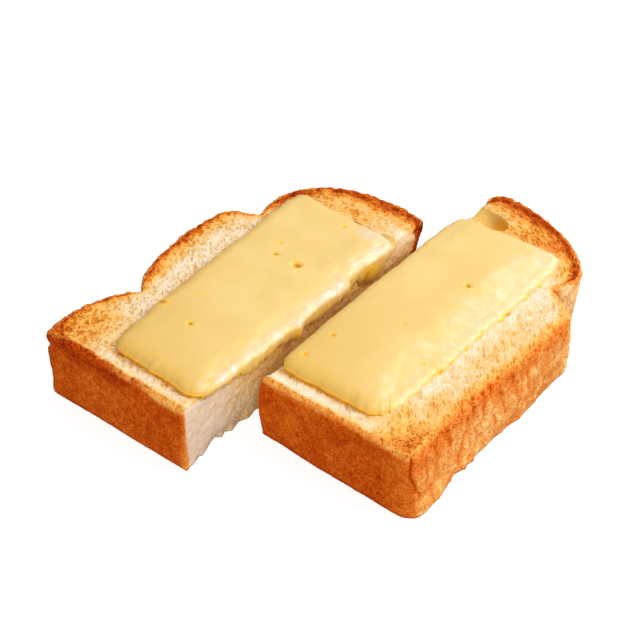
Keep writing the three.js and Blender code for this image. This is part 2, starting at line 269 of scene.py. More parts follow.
def bowl(out, up, hollow):
    """Rounded hollow: a half ellipsoid's depth, 1 in its middle and 0 at its outline."""
    dx, dy = out - hollow["middle"][0], up - hollow["middle"][1]
    turn = hollow["turn"]
    a = (dx * np.cos(turn) + dy * np.sin(turn)) / hollow["radii"][0]
    b = (-dx * np.sin(turn) + dy * np.cos(turn)) / hollow["radii"][1]
    return np.clip(1 - a * a - b * b, 0, 1) ** 0.6


# ---- Bread ----------------------------------------------------------------------------------------

ALONG = 800  # columns round the crust
ACROSS = 58  # rows of crumb from the rim to the part hidden by cheese
UNDER_CHEESE = 170  # columns of the cut face under the cheese
HEIGHTS = np.concatenate([
    THICKNESS - np.array([0, 0.12, 0.35, 0.7, 1.15, 1.7, 2.3]), np.linspace(22.6, 0, 29),
])
CORE = np.array([0, 57.5])  # middle of the cut, which the rows of crumb run towards
TOP, SIDE, CUT, UNDER = range(4)  # the grids that the bread is made of


def curve(points, count=160):
    """A straight, quadratic or cubic curve from its steering points, by repeated blending."""
    t = np.linspace(0, 1, count)[:, None, None]
    layers = np.array(points, float)[None].repeat(count, 0)
    while layers.shape[1] > 1:
        layers = layers[:, :-1] * (1 - t) + layers[:, 1:] * t
    return layers[:, 0]


def rim_line(half):
    """The rim at even steps: points, distance along it, and outward normals turned square to the
    cut at both ends and softened over a couple of millimetres."""
    chain = np.concatenate([curve(piece)[:-1] for piece in half["rim"]] + [[half["rim"][-1][-1]]])
    steps = np.concatenate([[0], np.cumsum(np.hypot(*np.diff(chain, axis=0).T))])
    along = np.linspace(0, steps[-1], ALONG)
    points = np.stack([np.interp(along, steps, chain[:, k]) for k in (0, 1)], -1)
    tangent = np.gradient(points, axis=0)
    normal = np.stack([tangent[:, 1], -tangent[:, 0]], -1)
    soften = np.hanning(13)
    padded = np.pad(normal, ((6, 6), (0, 0)), mode="edge")
    normal = np.stack([np.convolve(padded[:, k], soften / soften.sum(), "valid") for k in (0, 1)], -1)
    end = along[-1] - along
    normal[:, 0] *= ramp(np.minimum(along, end), 0, 3)
    normal /= np.linalg.norm(normal, axis=1)[:, None]
    return points, along, normal


def facing(half, up, normal_up):
    """Shares of foot, side and dome in the way the crust faces."""
    dome = ramp(up, half["dome_from"] - 3, half["dome_from"] + 5)
    foot = ramp(-normal_up, 0.3, 0.9) * (1 - dome)
    return foot, 1 - foot - dome, dome


def wall_stand_off(half, rim, normal_up, z):
    """How far the crust stands out from the rim's outline at a height: the WALL table's columns
    blended by the way the wall faces, less the quarter round of its top edge."""
    out, up = rim.T
    foot_share, side_share, dome_share = facing(half, up, normal_up)
    foot, left, right, dome = (np.interp(z, WALL[:, 0], WALL[:, k]) for k in (1, 2, 3, 4))
    knob = (0.9 * mound(z, 22.6, 2.2) + 0.4 * mound(z, 15, 5)) * mound(up, 0, 13)
    side = left - 0.9 * mound(z, 19.6, 1.2) * mound(up, 0, 22) + knob
    if half["side"] < 0:
        dome = dome - 2.2 * ramp(out, 16, 2) * ramp(z, 24, 14)
    else:
        side = right + (0.3 + np.interp(up, LIP[:, 0], LIP[:, 1])) * np.clip(1 - z / 7, 0, 1)
        side = side - 1.3 * mound(up, 82, 15) * ramp(z, 22, 6)
        foot = foot + (0.4 * ramp(out, 22, 52) - 1.0 * ramp(out, 26, 4)) * ramp(z, 12, 1)
    radius = foot_share * ROUNDING["foot"] + dome_share * ROUNDING["dome"]
    radius = radius + side_share * ROUNDING[half["name"]]
    over = np.clip((z - THICKNESS + radius) / radius, 0, 1)
    return foot_share * foot + side_share * side + dome_share * dome, radius * (1 - np.sqrt(1 - over**2))


def crust_wall(half, rim, normal):
    """Rows of crust from the rim down: the outline moved along its normals by the stand-off at each
    height. Near the notches between side and dome it keeps closer to the outline."""
    notch = np.min([np.hypot(*(rim - n).T) for n in half["notches"]], axis=0)
    keep = ramp(notch, 0, 3.5)
    rows = []
    for z in HEIGHTS:
        off, inset = wall_stand_off(half, rim, normal[:, 1], z)
        off = np.where(off > 0, off * keep, off) - inset * (0.25 + 0.75 * keep)
        rows.append(np.column_stack([rim + normal * off[:, None], np.full(ALONG, z)]))
    wall = np.stack(rows)
    wall[:, [0, -1], 0] = 0
    return wall


def crumb_rows(half, top, side_share):
    """Rows of crumb from the top edge straight towards the middle of the cut, as far as the part that
    the cheese hides, and their depth in from the edge. The crumb lies a little below the crust."""
    ray = top - CORE
    share = np.full(ALONG, 1e9)
    hidden = np.array(half["hidden"], float)
    for a, b in zip(hidden[:-1], hidden[1:]):
        line = np.array([b[1] - a[1], a[0] - b[0]])
        towards = ray @ line
        reach = ((a - CORE) @ line) / np.maximum(towards, 1e-9)
        share = np.where(towards > 1e-9, np.minimum(share, reach), share)
    inner = CORE + ray * share[:, None]
    step = np.linspace(0, 1, ACROSS) ** 1.1
    crumb = top[None] + (inner - top)[None] * step[:, None, None]
    depth = np.linalg.norm(crumb - top[None], axis=2)
    sink = CRUMB_SINK * ramp(depth / (2.5 + 6.0 * side_share * (half["side"] > 0)), 0, 1)
    return np.concatenate([crumb, (THICKNESS - sink)[..., None]], -1), depth


def cut_face(wall, crumb):
    """Rows of the cut face: its columns start on the crumb's two edges and the line between them, and
    end on the two ends of the wall."""
    first, last = crumb[:, 0, 1], crumb[::-1, -1, 1]
    between = np.linspace(first[-1], last[0], UNDER_CHEESE + 2)[1:-1]
    ups = np.concatenate([first, between, last])
    place = (ups - ups[0]) / (ups[-1] - ups[0])
    middle = np.full(UNDER_CHEESE, THICKNESS - CRUMB_SINK)
    tops = np.concatenate([crumb[:, 0, 2], middle, crumb[::-1, -1, 2]])
    cut = np.zeros((len(HEIGHTS), len(ups), 3))
    for k, z in enumerate(HEIGHTS):
        slide_first, slide_last = wall[k, [0, -1], 1] - wall[0, [0, -1], 1]
        cut[k, :, 1] = ups + slide_first * (1 - place) ** 5 + slide_last * place**5
        cut[k, :, 2] = z * (1 + (tops / THICKNESS - 1) * (z / THICKNESS) ** 6)
    cut[:, 0, 1:], cut[:, -1, 1:] = wall[:, 0, 1:], wall[:, -1, 1:]
    return cut


def surfaces(half):
    """The undented half as grids that share their edges: crumb from the rim in, wall from the rim
    down, cut face, and fans that close the hidden middle of the top and the underside. Gives points
    (out, up, z), quads, triangles and, per point, distance along the rim, depth in from the rim
    across the top (less than 0 down the wall) and which grid it is of."""
    rim, along, normal = rim_line(half)
    wall = crust_wall(half, rim, normal)
    side_share = facing(half, rim[:, 1], normal[:, 1])[1]
    crumb, depth_in = crumb_rows(half, wall[0, :, :2], side_share)
    cut = cut_face(wall, crumb)

    # Underside: one ring a little way in, then a fan.
    underside = CORE + (wall[-1, :, :2] - CORE) * 0.97
    underside[:, 0] = np.maximum(underside[:, 0], 0)
    underside = np.stack([wall[-1], np.column_stack([underside, np.zeros(ALONG)])])
    underside[1, [0, -1], 0] = 0

    points, faces, tags = [], [], []

    def add_grid(grid, s, depth, kind, flip=False):
        """Keeps one grid's points, tags and faces, and gives its points' numbers."""
        start = sum(len(p) for p in points)
        index = start + np.arange(grid[..., 0].size).reshape(grid.shape[:2])
        quads = np.stack([index[:-1, :-1], index[:-1, 1:], index[1:, 1:], index[1:, :-1]], -1)
        quads = quads.reshape(-1, 4)
        points.append(grid.reshape(-1, 3))
        s, depth, kind = np.broadcast_arrays(s, depth, np.full(grid.shape[:2], kind))
        tags.append(np.column_stack([s.ravel(), depth.ravel(), kind.ravel()]))
        faces.append(quads[:, ::-1] if flip else quads)
        return index

    from_edge = 0.8 * wall_stand_off(half, rim, normal[:, 1], THICKNESS)[1]
    down = np.linalg.norm(np.diff(wall, axis=0), axis=2)
    down = np.concatenate([np.zeros((1, ALONG)), np.cumsum(down, axis=0)])
    crumb_index = add_grid(crumb, along, depth_in + from_edge, TOP)
    add_grid(wall, along, from_edge - down, SIDE, flip=True)
    edge = np.minimum(cut[..., 1] - cut[:, :1, 1], cut[:, -1:, 1] - cut[..., 1])
    cut_index = add_grid(cut, cut[..., 1], edge, CUT)
    under_index = add_grid(underside, along, -30.0, UNDER, flip=True)

    start = sum(len(p) for p in points)
    middle = slice(ACROSS - 1, ACROSS + UNDER_CHEESE + 1)
    top_loop = np.concatenate([crumb_index[-1], cut_index[0, middle][::-1][1:-1]])
    points.append(np.array([[18, CORE[1], THICKNESS - CRUMB_SINK], [18, CORE[1], 0.0]]))
    tags.append(np.array([[0, 20, TOP], [0, -30, UNDER]], float))
    # The underside's cut edge: down the ring's two ends and along the cut face's lowest row.
    low_loop = np.concatenate([
        under_index[1], under_index[0, -1:], cut_index[-1][::-1][1:-1], under_index[0, :1],
    ])
    fans = [
        np.column_stack([np.full(len(top_loop), start), top_loop, np.roll(top_loop, -1)]),
        np.column_stack([np.full(len(low_loop), start + 1), np.roll(low_loop, -1), low_loop]),
    ]
    return np.concatenate(points), np.concatenate(faces), np.concatenate(fans), np.concatenate(tags)


def merge(points, quads, triangles, tags):
    """Points at one place become one; faces that shrink to a line go."""
    _, keep, back = np.unique(np.round(points, 4), axis=0, return_index=True, return_inverse=True)
    back = back.reshape(-1)
    quads, triangles = back[quads], back[triangles]
    flat = (quads == np.roll(quads, 1, axis=1)).any(axis=1)
    return points[keep], quads[~flat], triangles, tags[keep]


def point_normals(points, quads, triangles):
    """Outward normals at the points, from the faces round them."""
    halves = np.concatenate([quads[:, [0, 1, 2]], quads[:, [0, 2, 3]], triangles])
    a, b, c = (points[halves[:, k]] for k in range(3))
    face = np.cross(b - a, c - a)
    total = np.zeros_like(points)
    for k in range(3):
        np.add.at(total, halves[:, k], face)
    return total / np.maximum(np.linalg.norm(total, axis=1), 1e-12)[:, None]


def mesh_object(name, points, quads, triangles, attributes, material):
    """A smooth-shaded mesh object from arrays, with point attributes for its material."""
    mesh = bpy.data.meshes.new(name)
    corners = np.concatenate([quads.ravel(), triangles.ravel()]).astype(np.int32)
    sizes = np.concatenate([np.full(len(quads), 4), np.full(len(triangles), 3)])
    mesh.vertices.add(len(points))
    mesh.loops.add(len(corners))
    mesh.polygons.add(len(sizes))
    mesh.vertices.foreach_set("co", to_row(points).astype(np.float32).ravel())
    mesh.loops.foreach_set("vertex_index", corners)
    starts = np.concatenate([[0], np.cumsum(sizes)[:-1]]).astype(np.int32)
    mesh.polygons.foreach_set("loop_start", starts)
    mesh.update(calc_edges=True)
    mesh.polygons.foreach_set("use_smooth", np.ones(len(sizes), bool))
    for label, values in attributes.items():
        kind, field = ("FLOAT_VECTOR", "vector") if values.ndim == 2 else ("FLOAT", "value")
        layer = mesh.attributes.new(label, kind, "POINT")
        layer.data.foreach_set(field, values.astype(np.float32).ravel())
    mesh.materials.append(material)
    obj = bpy.data.objects.new(name, mesh)
    bpy.context.scene.collection.objects.link(obj)
    return obj


def toast_level(half, at):
    """How far the crumb's top is toasted, 0 pale to 1 dark: patches, plus a browned rim."""
    level = np.zeros(len(at.out))
    for middle, high, across, along, strength in half["toast"]:
        level = np.maximum(level, strength * mound(at.out, middle, across) * mound(at.up, high, along))
    dome = ramp(at.up, half["dome_from"] + 2, half["dome_from"] + 14)
    foot = ramp(at.up, 5, 1) * ramp(at.out, 40, 25)
    browned = 0.24 + 0.34 * dome + (0 if at.right else 0.22 * (1 - dome))
    rim = browned * np.exp(-np.maximum(at.depth - 1.4, 0) / (1.2 + 0.9 * dome)) * (1 - 0.7 * foot)
    return np.minimum(level + rim, 0.85)


def cell_places(half, at):
    """Two sets of coordinates in which the crumb's cells are round and about one across. The first is
    square to the slice: across the way its cells are drawn out, along it (a running sum of steps
    divided by how far they are drawn), and down. The second follows the dome's rim: along it, and in
    from it."""
    way_out, way_up = half["drawn_way"]
    table = np.linspace(-120, 160, 561)
    path = np.cumsum(0.5 / np.interp(table, *half["drawn"]))
    across = at.out * way_up - at.up * way_out
    along = np.interp(at.out * way_out + at.up * way_up, table, path)
    square = columns(across, along, -at.z) / half["cell"]
    return square, columns(at.s / half["rim_drawn"], at.depth, 3.3 * at.seed) / half["rim_cell"]


def foam(p, seed, share):
    """Open cells of crumb: 0 on the walls between cells, up to 1 in the middle of the deepest ones;
    only about the given share of the cells is open."""
    near, next_, tag = cells(p, seed)
    return ramp(next_ - near, 0.06, 0.42) * (0.5 + 0.5 * tag) * ramp(tag, 0.92 - share, 1.08 - share)


def crust_reach(at):
    """How far the foot's crust reaches in over the rim, less than 0 where it stays short of it."""
    if at.right:
        reach = 0.7 * mound(at.out, 32, 14)
    else:
        reach = 2.1 * mound(at.out, 44, 13) + 0.9 * mound(at.out, 20, 4) - 1.4 * mound(at.out, 9, 7)
    return reach * ramp(at.up, 8, 4)


def described(half, points, normals, tags):
    """What relief and masks ask of each point: its place, which grid it is of, the shares of foot,
    side and dome in the way it faces, how far it faces out, slow noises that edges wander by, how far
    the foot's crust reaches in there and how far the point lies past that crust."""
    out, up, z = points.T
    s, depth, kind = tags.T
    p = np.column_stack([out * half["side"], up, z])
    foot, side, dome_share = facing(half, up, normals[:, 1])
    noise = noise_at(p, half["seed"])
    at = SimpleNamespace(
        right=half["side"] > 0, seed=half["seed"], out=out, up=up, z=z, s=s, depth=depth, noise=noise,
        top=kind == TOP, wall=kind == SIDE, cut=kind == CUT, under=kind == UNDER,
        foot=foot, side=side, dome_share=dome_share, facing_out=ramp(normals[:, 0], 0.3, 0.8),
        dome=ramp(up, half["dome_from"], half["dome_from"] + 8), edge=noise(0.5, 14),
        streak=cloud(columns(s * 0.26, depth * 0.95, 0), half["seed"] + 15, 3),
    )
    at.reach = crust_reach(at)
    at.past_crust = depth + 0.5 * at.edge + 0.7 * foot - at.reach
    return at


def crumb_relief(at, square, by_rim):
    """Crumb on top: some of its cells open, the rest low waves, and slow swells. Gives the lift and
    how deep in a pore each point is."""
    bend = 0.35 * columns(at.noise(0.6, 31, 2), at.noise(0.6, 32, 2), 0)
    corner = ramp(at.out, 40, 50) * ramp(at.up, 28, 16) * (not at.right)
    plain_corner = 1 - ramp(at.out, 44, 50) * ramp(at.up, 20, 12) * at.right
    pore = np.zeros(len(at.out))
    for place, share in ((square + bend, 1 - at.dome), (by_rim + bend, at.dome)):
        here = at.top & (share > 0)
        small = foam(place[here] / 1.28, at.seed, 0.6)
        few = (0.10 + 0.35 * corner[here]) * ramp(at.depth[here], 1.0, 3.0) * plain_corner[here]
        large = foam(place[here] / 1.9, at.seed + 10, few) * (few > 0.02)
        clumps = 0.34 if at.right else 0.45 + 0.30 * ramp(at.out[here], 28, 40)
        pore[here] += share[here] * np.maximum(clumps * small, large)
    pore = pore * (1 - 0.5 * ramp(at.up, 7, 4) * ramp(at.out, 50, 30))
    pore = pore * (1 - 0.85 * ramp(at.up, 4.5, 1.5) * ramp(at.out, 56, 48))
    inside = ramp(at.depth, -0.4, 1.2) * at.top
    swell = 0.25 * at.noise(0.16, 3) + 0.12 * at.noise(0.9, 4, 2)
    return (swell - (0.32 if at.right else 0.62) * pore) * inside, pore * inside


def crust_relief(at):
    """Crust: broad dents and grain down the wall and a crumbly rim; on the right half also folds,
    wrinkles, the split and the pits. Gives the lift, the creases and the wrinkles."""
    broad = 0.28 * at.noise(0.09, 5) + 0.16 * at.noise(0.33, 7)
    grain = 0.13 * at.noise(0.95, 8, 2)
    lift = (broad + grain) * ramp(-at.depth, 0, 2) * at.wall
    crease_shade, wrinkles = np.zeros((2, len(at.out)))
    if at.right:
        side = at.side * at.wall * at.facing_out
        for path, width, dent in FOLDS:
            bell = near_path(at.up + 0.5 * broad, at.z, path, width) * side
            lift -= 0.46 * dent * bell
            crease_shade = np.maximum(crease_shade, bell * min(1, max(dent, 0)))
        ripple = columns(at.up * 0.55 + at.z * 0.12, at.z * 0.24, at.out * 0.1)
        wrinkles = cloud(ripple, at.seed + 9, 3) * side
        lift += 0.26 * wrinkles * ramp(at.up, 90, 55)
        split = near_path(at.s, at.z, CRACK, 0.34) * (at.wall | (at.top & (at.depth < 2)))
        lift -= 0.8 * split
        crease_shade = np.maximum(crease_shade, 1.25 * split)
        for middle, high, radius, dent in PITS:
            pit = np.exp(-(((at.out - middle) ** 2 + (at.z - high) ** 2) / radius**2)) * at.foot * at.wall
            lift -= dent * pit
            crease_shade = np.maximum(crease_shade, 1.2 * pit)
    rough = 0.36 * at.noise(0.62, 6) * mound(at.depth, 0, 2.4) * (at.top | at.wall)
    rough = rough * (1 - 0.65 * ramp(at.out, 50, 56) * at.top * ramp(at.up, 92, 86) * at.right)
    more = 0.3 * ramp(at.out, 48, 58) * (not at.right)
    return lift + rough * (1 - 0.65 * at.foot * ramp(at.out, 56, 46) + more), crease_shade, wrinkles


def cut_relief(at):
    """Cut face: soft torn crumb. Gives the lift, how deep in a pore each point is, and coordinates in
    which its cells are about one across."""
    torn = columns(at.up / 1.4, at.z, 5.0 + at.seed)
    pore = np.zeros(len(at.out))
    large, small = foam(torn[at.cut] / 1.9, at.seed + 50, 0.2), foam(torn[at.cut] / 1.1, at.seed + 60, 0.7)
    pore[at.cut] = np.maximum(large * 0.7, small * 0.5)
    lift = 0.24 * at.noise(0.45, 12) - (0.27 + 0.17 * ramp(at.up, 15, 40)) * pore
    inside = ramp(at.depth, 0.3, 2.0) * ramp(at.z, 0.0, 1.2) * ramp(THICKNESS - at.z, 0.1, 1.2)
    return lift * inside, pore * inside, torn / 0.85


def break_cut_edges(half, at, points):
    """Low, the crumb of the cut is broken away; at the foot its corner stands proud. The cut's top edge
    is rounded over, on the left half more so by the dome. Moves the points."""
    ragged = np.interp(at.up, RAGGED[:, 0], RAGGED[:, 1]) + 0.25 * at.noise(0.5, 11)
    proud = half["flare"] * mound(at.up, 0, 6) * np.sin(np.pi * np.clip(at.z / THICKNESS, 0, 1)) ** 0.7
    points[:, 0] -= (proud + ragged * np.clip(1 - at.z / 6.5, 0, 1) ** 1.3) * mound(at.out, 0, 2.2)
    over = mound(at.out, 0, 1.0) * (at.top | at.cut)
    points[:, 2] -= 0.45 * over * ramp(at.z, 22.5, 25.4)
    points[:, 0] += 0.40 * over * ramp(at.z, 23.4, 25.4)
    if not at.right:
        worn = ramp(at.up, 107, 113) * (at.top | at.cut)
        points[:, 2] -= 1.2 * mound(at.out, 0, 2.8) * worn * ramp(at.z, 20, 25.4)
        points[:, 0] += 0.9 * mound(at.out, 0, 1.4) * worn * ramp(at.z, 17, 25.4)


def crust_mask(at):
    """1 on the crust, 0 on crumb; on the cut face it wraps round from the foot and the dome."""
    crust = np.where(at.wall | at.top, ramp(at.past_crust, 1.4, -0.9), 0)
    wrap = 0.6 + 1.4 * ramp(at.z, 18, 2)
    crust = np.where(at.cut, ramp(at.depth + 0.3 * at.edge, wrap + 0.6, wrap - 0.6), crust)
    return np.where(at.cut & (at.up > 60), ramp(at.depth + 0.4 * at.edge, 4.2, 2.2), crust)


def bake_mask(at, crease_shade, wrinkles):
    """How dark the crust is baked, 0 to 1: by the way it faces, darker down the foot from its rim and in
    streaks along the dome's rim, paler where the right half faces out. Darker in creases, pits and the
    split, partly darker crust and partly painted shade in these recesses; paler on raised wrinkles, painted
    light; darker along the foot's lowest edge, painted shade by the table."""
    down = -at.depth + (0.7 - 0.25 * at.foot) * at.edge + at.reach
    down = down + 0.6 * ramp(at.out, 34, 50) * (not at.right)
    steps = [-0.7, 0.4, 1.2, 2.4] if at.right else [-0.7, 0.15, 0.8, 1.7]
    bake = at.foot * np.interp(down, steps, [0.17, 0.30, 0.48, 0.60])
    bake = bake + at.side * (0.26 + 0.10 * ramp(at.z, 13, 24))
    bake = bake + at.dome_share * (0.60 - 0.47 * at.facing_out * at.right)
    if at.right:
        # Painted light: paler on the raised wrinkles (last term).
        bake = bake - 0.13 * ramp(at.out, 48, 59) * at.foot - 0.07 * wrinkles
        bake = bake - 0.14 * at.side * ramp(at.up, 84, 91)
    else:
        bake = bake + at.side * (0.20 + 0.10 * ramp(at.z, 19, 24))
        bake = bake - 0.17 * at.foot * ramp(at.out + 0.4 * at.edge, 2.4, 0.4)
        for middle, high, across, drop in DARK_PATCHES:
            bake = bake + 0.13 * mound(at.out, middle, across) * mound(at.z, high, drop) * at.foot
    dark_rim = mound(at.depth, -0.3, np.clip(1.9 + 0.9 * at.streak, 0.8, 4))
    lens = ramp(at.streak, 0.15, 0.6) * ramp(at.depth, 6.0, 1.0) * ramp(at.depth, -5.0, -1.0)
    dark_rim = np.maximum(dark_rim, lens) * at.dome * (at.wall | at.top)
    if at.right:
        dark_rim = dark_rim * (1 - 0.8 * at.facing_out * at.wall)
        dark_rim = dark_rim * (1 - 0.9 * ramp(at.out, 38, 44) * ramp(at.up, 106, 101))
    bake = bake + (0.86 + 0.22 * np.minimum(at.streak, 0.5) - bake) * 0.92 * dark_rim
    bake = bake + 0.05 * at.noise(0.10, 13, 2)
    # Painted shade: darker along the foot's lowest edge by the table; darker in creases, pits and the split,
    # partly darker crust and partly painted shade.
    bake = bake + 0.08 * ramp(at.z, 2.5, 0.3) * at.foot + 0.22 * crease_shade
    least = 0.13 + 0.12 * ramp(at.out, 4, 1) * ramp(at.up, 3, 1) * (not at.right)
    return np.where(at.cut, 0.31 + 0.37 * ramp(at.up, 90, 110), np.maximum(bake, least))


def toast_mask(half, at, tan):
    """How far the crumb is toasted, 0 to 1: on top the toasted patches, streaks along the dome's rim,
    gold next to the foot's crust and a stain of fat next to the cheese; on the cut more from the foot
    to the dome."""
    toast = toast_level(half, at) + 0.05 * at.noise(0.22, 40, 2)
    toast = toast - 0.06 * mound(at.out, 2, 7) * mound(at.up, 118, 7) * (not at.right)
    streaks = np.minimum(at.streak, 0.7) * at.dome * np.exp(-np.maximum(at.depth - 1, 0) / 3)
    toast = toast + 0.26 * streaks
    golden = ramp(at.past_crust, 2.6, 0.4) * ramp(at.up, 7, 4) * at.top
    toast = np.maximum(toast, 0.40 * golden)
    stain = near_path(at.out + 0.4 * at.edge, at.up + 0.4 * at.edge, half["melt"], 1.3)
    toast = np.maximum(toast, (0.14 + 0.16 * ramp(at.up, 14, 8) if at.right else 0.30) * stain)

    torn = 0.01 + 0.17 * tan + 0.15 * ramp(at.up, 28, 45) + 0.12 * ramp(at.z, 2.4, 0.2) * ramp(at.up, 8, 20)
    torn = torn * (1 - 0.6 * ramp(at.z, 14, 24) * ramp(at.up, 100, 110))
    return np.select([at.cut, at.under, at.wall], [torn + 0.07 * at.edge * tan, 0.38, 0.5], toast)


def open_cells_mask(at, toast, tan):
    """How much of the material's fine cells shows, 0 to 1: much on the crumb, less on the smoother
    walls of the foot and on the pale end of the cut."""
    by_foot = ramp(at.out, 58, 46)
    shown = np.where(at.side > 0.5, 0.2 + 0.8 * ramp(at.depth, -8, 0), ramp(at.depth, -4.5, 0.3))
    shown = shown * (1 - 0.92 * at.foot * ramp(at.depth, 4.0, 1.5) * by_foot)
    shown = np.where(at.top, 1 - 0.6 * ramp(at.up, 6, 3) * ramp(at.depth, 5, 2) * by_foot, shown)
    shown = np.where(at.cut, 0.15 + 0.75 * tan, shown)
    if at.right:
        plainer = (0.25 + 0.3 * ramp(toast, 0.3, 0.05)) * (1 - at.dome)
        shown = shown * (1 - np.where(at.wall, 0.8 * ramp(at.up, 84, 91), plainer))
    return shown


def bread(half):
    """One half of the slice. The undented surfaces are pushed in or out along their normals: pores in
    the crumb, torn crumb on the cut face, wrinkles, folds and grain in the crust. Then the cut's edges
    are broken and a smooth bubble is hollowed out. Masks for the material go with the points."""
    points, quads, triangles, tags = merge(*surfaces(half))
    normals = point_normals(points, quads, triangles)
    at = described(half, points, normals, tags)
    square, by_rim = cell_places(half, at)
    lift, pore = crumb_relief(at, square, by_rim)
    crust_lift, crease_shade, wrinkles = crust_relief(at)
    cut_lift, cut_pore, cut_square = cut_relief(at)
    lift = np.where(at.cut, cut_lift, lift + crust_lift)
    dented = points + normals * lift[:, None]
    break_cut_edges(half, at, dented)

    hollow = half["hollow"]
    bubble = bowl(at.out, at.up, hollow) * ramp(at.z, THICKNESS - 3.5, THICKNESS - 0.8) * (at.top | at.cut)
    plain = ramp(bubble, 0.0, 0.12)
    dented[:, 2] += 0.62 * pore * ramp(bubble, 0, 0.2)
    dented[:, 2] -= hollow["depth"] * bubble * (0.45 + 0.55 * ramp(at.out, 0, 9))
    dented[:, 2] = np.where(at.under | (at.z <= 1e-6), 0, np.maximum(dented[:, 2], 0.02))

    tan = ramp(at.up + 2 * at.edge + 0.25 * at.z, 15, 34)
    toast = toast_mask(half, at, tan)
    masks = dict(
        crust=crust_mask(at),
        toast=toast,
        pore=np.where(at.cut, 0.5 * cut_pore, pore) * (1 - plain),
        bake=bake_mask(at, crease_shade, wrinkles),
        pocket=plain * (0.15 + 0.85 * ramp(at.out, 4, 13)) * hollow["glaze"],
        pinkish=np.where(at.cut, 1.0 - ramp(at.up, 12, 34), 0.0),
        open_cells=open_cells_mask(at, toast, tan) * (1 - plain),
        dome=np.where(at.cut, 0, at.dome),
    )
    places = dict(cell_place=np.where(at.cut[:, None], cut_square, square), rim_place=by_rim)
    dented[:, 0] = half["cut"] + half["side"] * dented[:, 0]
    dented[:, 1] += half["slide"]
    if not at.right:
        quads, triangles = quads[:, ::-1], triangles[:, ::-1]
    return dented, quads, triangles, {**in_range(masks), **places}


# ---- Cheese ---------------------------------------------------------------------------------------

CHEESE_BASE = THICKNESS - 0.9
CHEESE_TOP = THICKNESS + 3.7
SLAB_WIDTH, SLAB_LENGTH = 44.0, 103.0  # both slabs, cut to side and foot to dome
SLAB_COLUMNS, SLAB_ROWS = 96, 216  # squares of the slab's top, across and along
FAT_SPOT = (-38.9, 33.3)  # clear fat on the left slab, (x, y) in the slice's frame

LEFT_SLAB = dict(
    half=LEFT, seed=5,
    # Corners at the base in the half's frame: foot cut, foot side, dome side, dome cut.
    corners=np.array([(2.3, 6.2), (-40.0, 7.6), (-45.5, 111.3), (2.7, 108.6)]),
    squareness=(10, 10, 12, 22),  # of the four corners: higher is sharper
    # Reach of the rounded shoulder seen from above, and how much of the melt's height it leaves at
    # its foot: cut, side, foot, dome.
    shoulder=(3.2, 4.5, 5.0, 3.0), left_at_foot=(0.36, 0.24, 0.22, 0.35),
    # Holes: out, up, radius, depth.
    holes=[
        (-16.5, 76.4, 1.35, 1.2), (-24.1, 30.5, 0.9, 0.6), (-25.9, 76.5, 0.9, 0.5),
        (-31.8, 43.0, 0.6, 0.2), (-28.6, 82.3, 0.8, 0.2), (-17.4, 103.2, 0.9, 0.25),
        (-18.0, 11.7, 0.5, 0.25), (-40.2, 33.1, 1.2, 0.5),
    ],
    # Skirt that hangs down the cut face: (up, reach).
    skirt=np.array([
        (6, 0.3), (9, 1.6), (11.2, 2.2), (16, 1.3), (20, 2.5), (24, 2.0), (27, 3.6), (33, 4.4), (38, 3.6),
        (41, 4.6), (44, 3.2), (47, 3.5), (50.3, 4.2), (55, 5.6), (57.8, 2.5), (62, 3.6), (67.7, 5.4),
        (73.7, 3.5), (79, 2.6), (82, 4.6), (84.5, 5.0), (87.2, 2.6), (90, 3.2), (92.5, 6.4), (97, 7.9),
        (100.6, 6.8), (102.6, 2.0), (105, 0.5),
    ]),
    drops=[],
    # Painted highlights, whitish spots along the cut edge: up, half length.
    highlight_gleams=[
        (10.5, 1.4), (18.5, 2.0), (24.0, 1.4), (31.5, 2.6), (44.5, 2.6), (56, 2.2), (64, 3.2), (71.5, 2.4),
        (77.5, 2.4), (88.7, 2.4), (96.6, 2.2), (101.6, 1.8),
    ],
    # How far the top falls towards the cut, side, foot and dome edges, and over what distance.
    fall=(2.0, 0.5, 0.8, 0.6), fall_reach=(10, 10, 10, 10),
)
RIGHT_SLAB = dict(
    half=RIGHT, seed=9,
    corners=np.array([(-0.3, 6.6), (42.4, 8.2), (41.8, 111.4), (-1.6, 108.3)]),
    squareness=(13, 9, 14, 14), shoulder=(3.5, 3.8, 5.0, 3.4), left_at_foot=(0.35, 0.14, 0.22, 0.35),
    holes=[
        (25.8, 76.4, 0.95, 0.8), (6.6, 27.8, 0.9, 0.5), (5.5, 14.7, 1.0, 0.4), (21.2, 46.9, 0.6, 0.2),
        (37.1, 36.8, 0.5, 0.2), (20.5, 10.6, 0.6, 0.3), (41.3, 40.9, 0.5, 0.2),
    ],
    skirt=np.zeros((1, 2)),
    # Drops of clear fat at the right-hand edge: up, half length.
    drops=[
        (87.7, 1.6), (76.7, 1.3), (73.0, 1.2), (61.8, 1.8), (53.5, 1.2), (45.7, 1.4), (38.8, 1.1), (96, 1.2),
    ],
    fall=(0.5, 3.3, 0.8, 0.6), fall_reach=(8, 17, 10, 10),
)


def slab_point(slab, x, y):
    """Point of the slab for a place in a square (x from -1 at the cut to 1 at the side, y from -1 at
    the foot to 1 at the dome): the square's corners are rounded by a power law, then it is stretched
    over the slab's four corners."""
    n = np.choose(np.where(y < 0, (x > 0) * 1, np.where(x > 0, 2, 3)), slab["squareness"])
    size = np.maximum(np.maximum(np.abs(x), np.abs(y)), 1e-9)
    round_size = (np.abs(x) ** n + np.abs(y) ** n) ** (1 / n)
    across, along = (1 + x * size / round_size) / 2, (1 + y * size / round_size) / 2
    a, b, c, d = slab["corners"]
    foot = a + (b - a) * across[:, None]
    dome = d + (c - d) * across[:, None]
    return foot + (dome - foot) * along[:, None]


def outward(slab, x, y):
    """Level unit vector out from the slab at a place of the square's edge."""
    step = slab_point(slab, x, y) - slab_point(slab, x * 0.94, y * (1 - 0.06 * SLAB_WIDTH / SLAB_LENGTH))
    return step / np.linalg.norm(step, axis=1)[:, None]


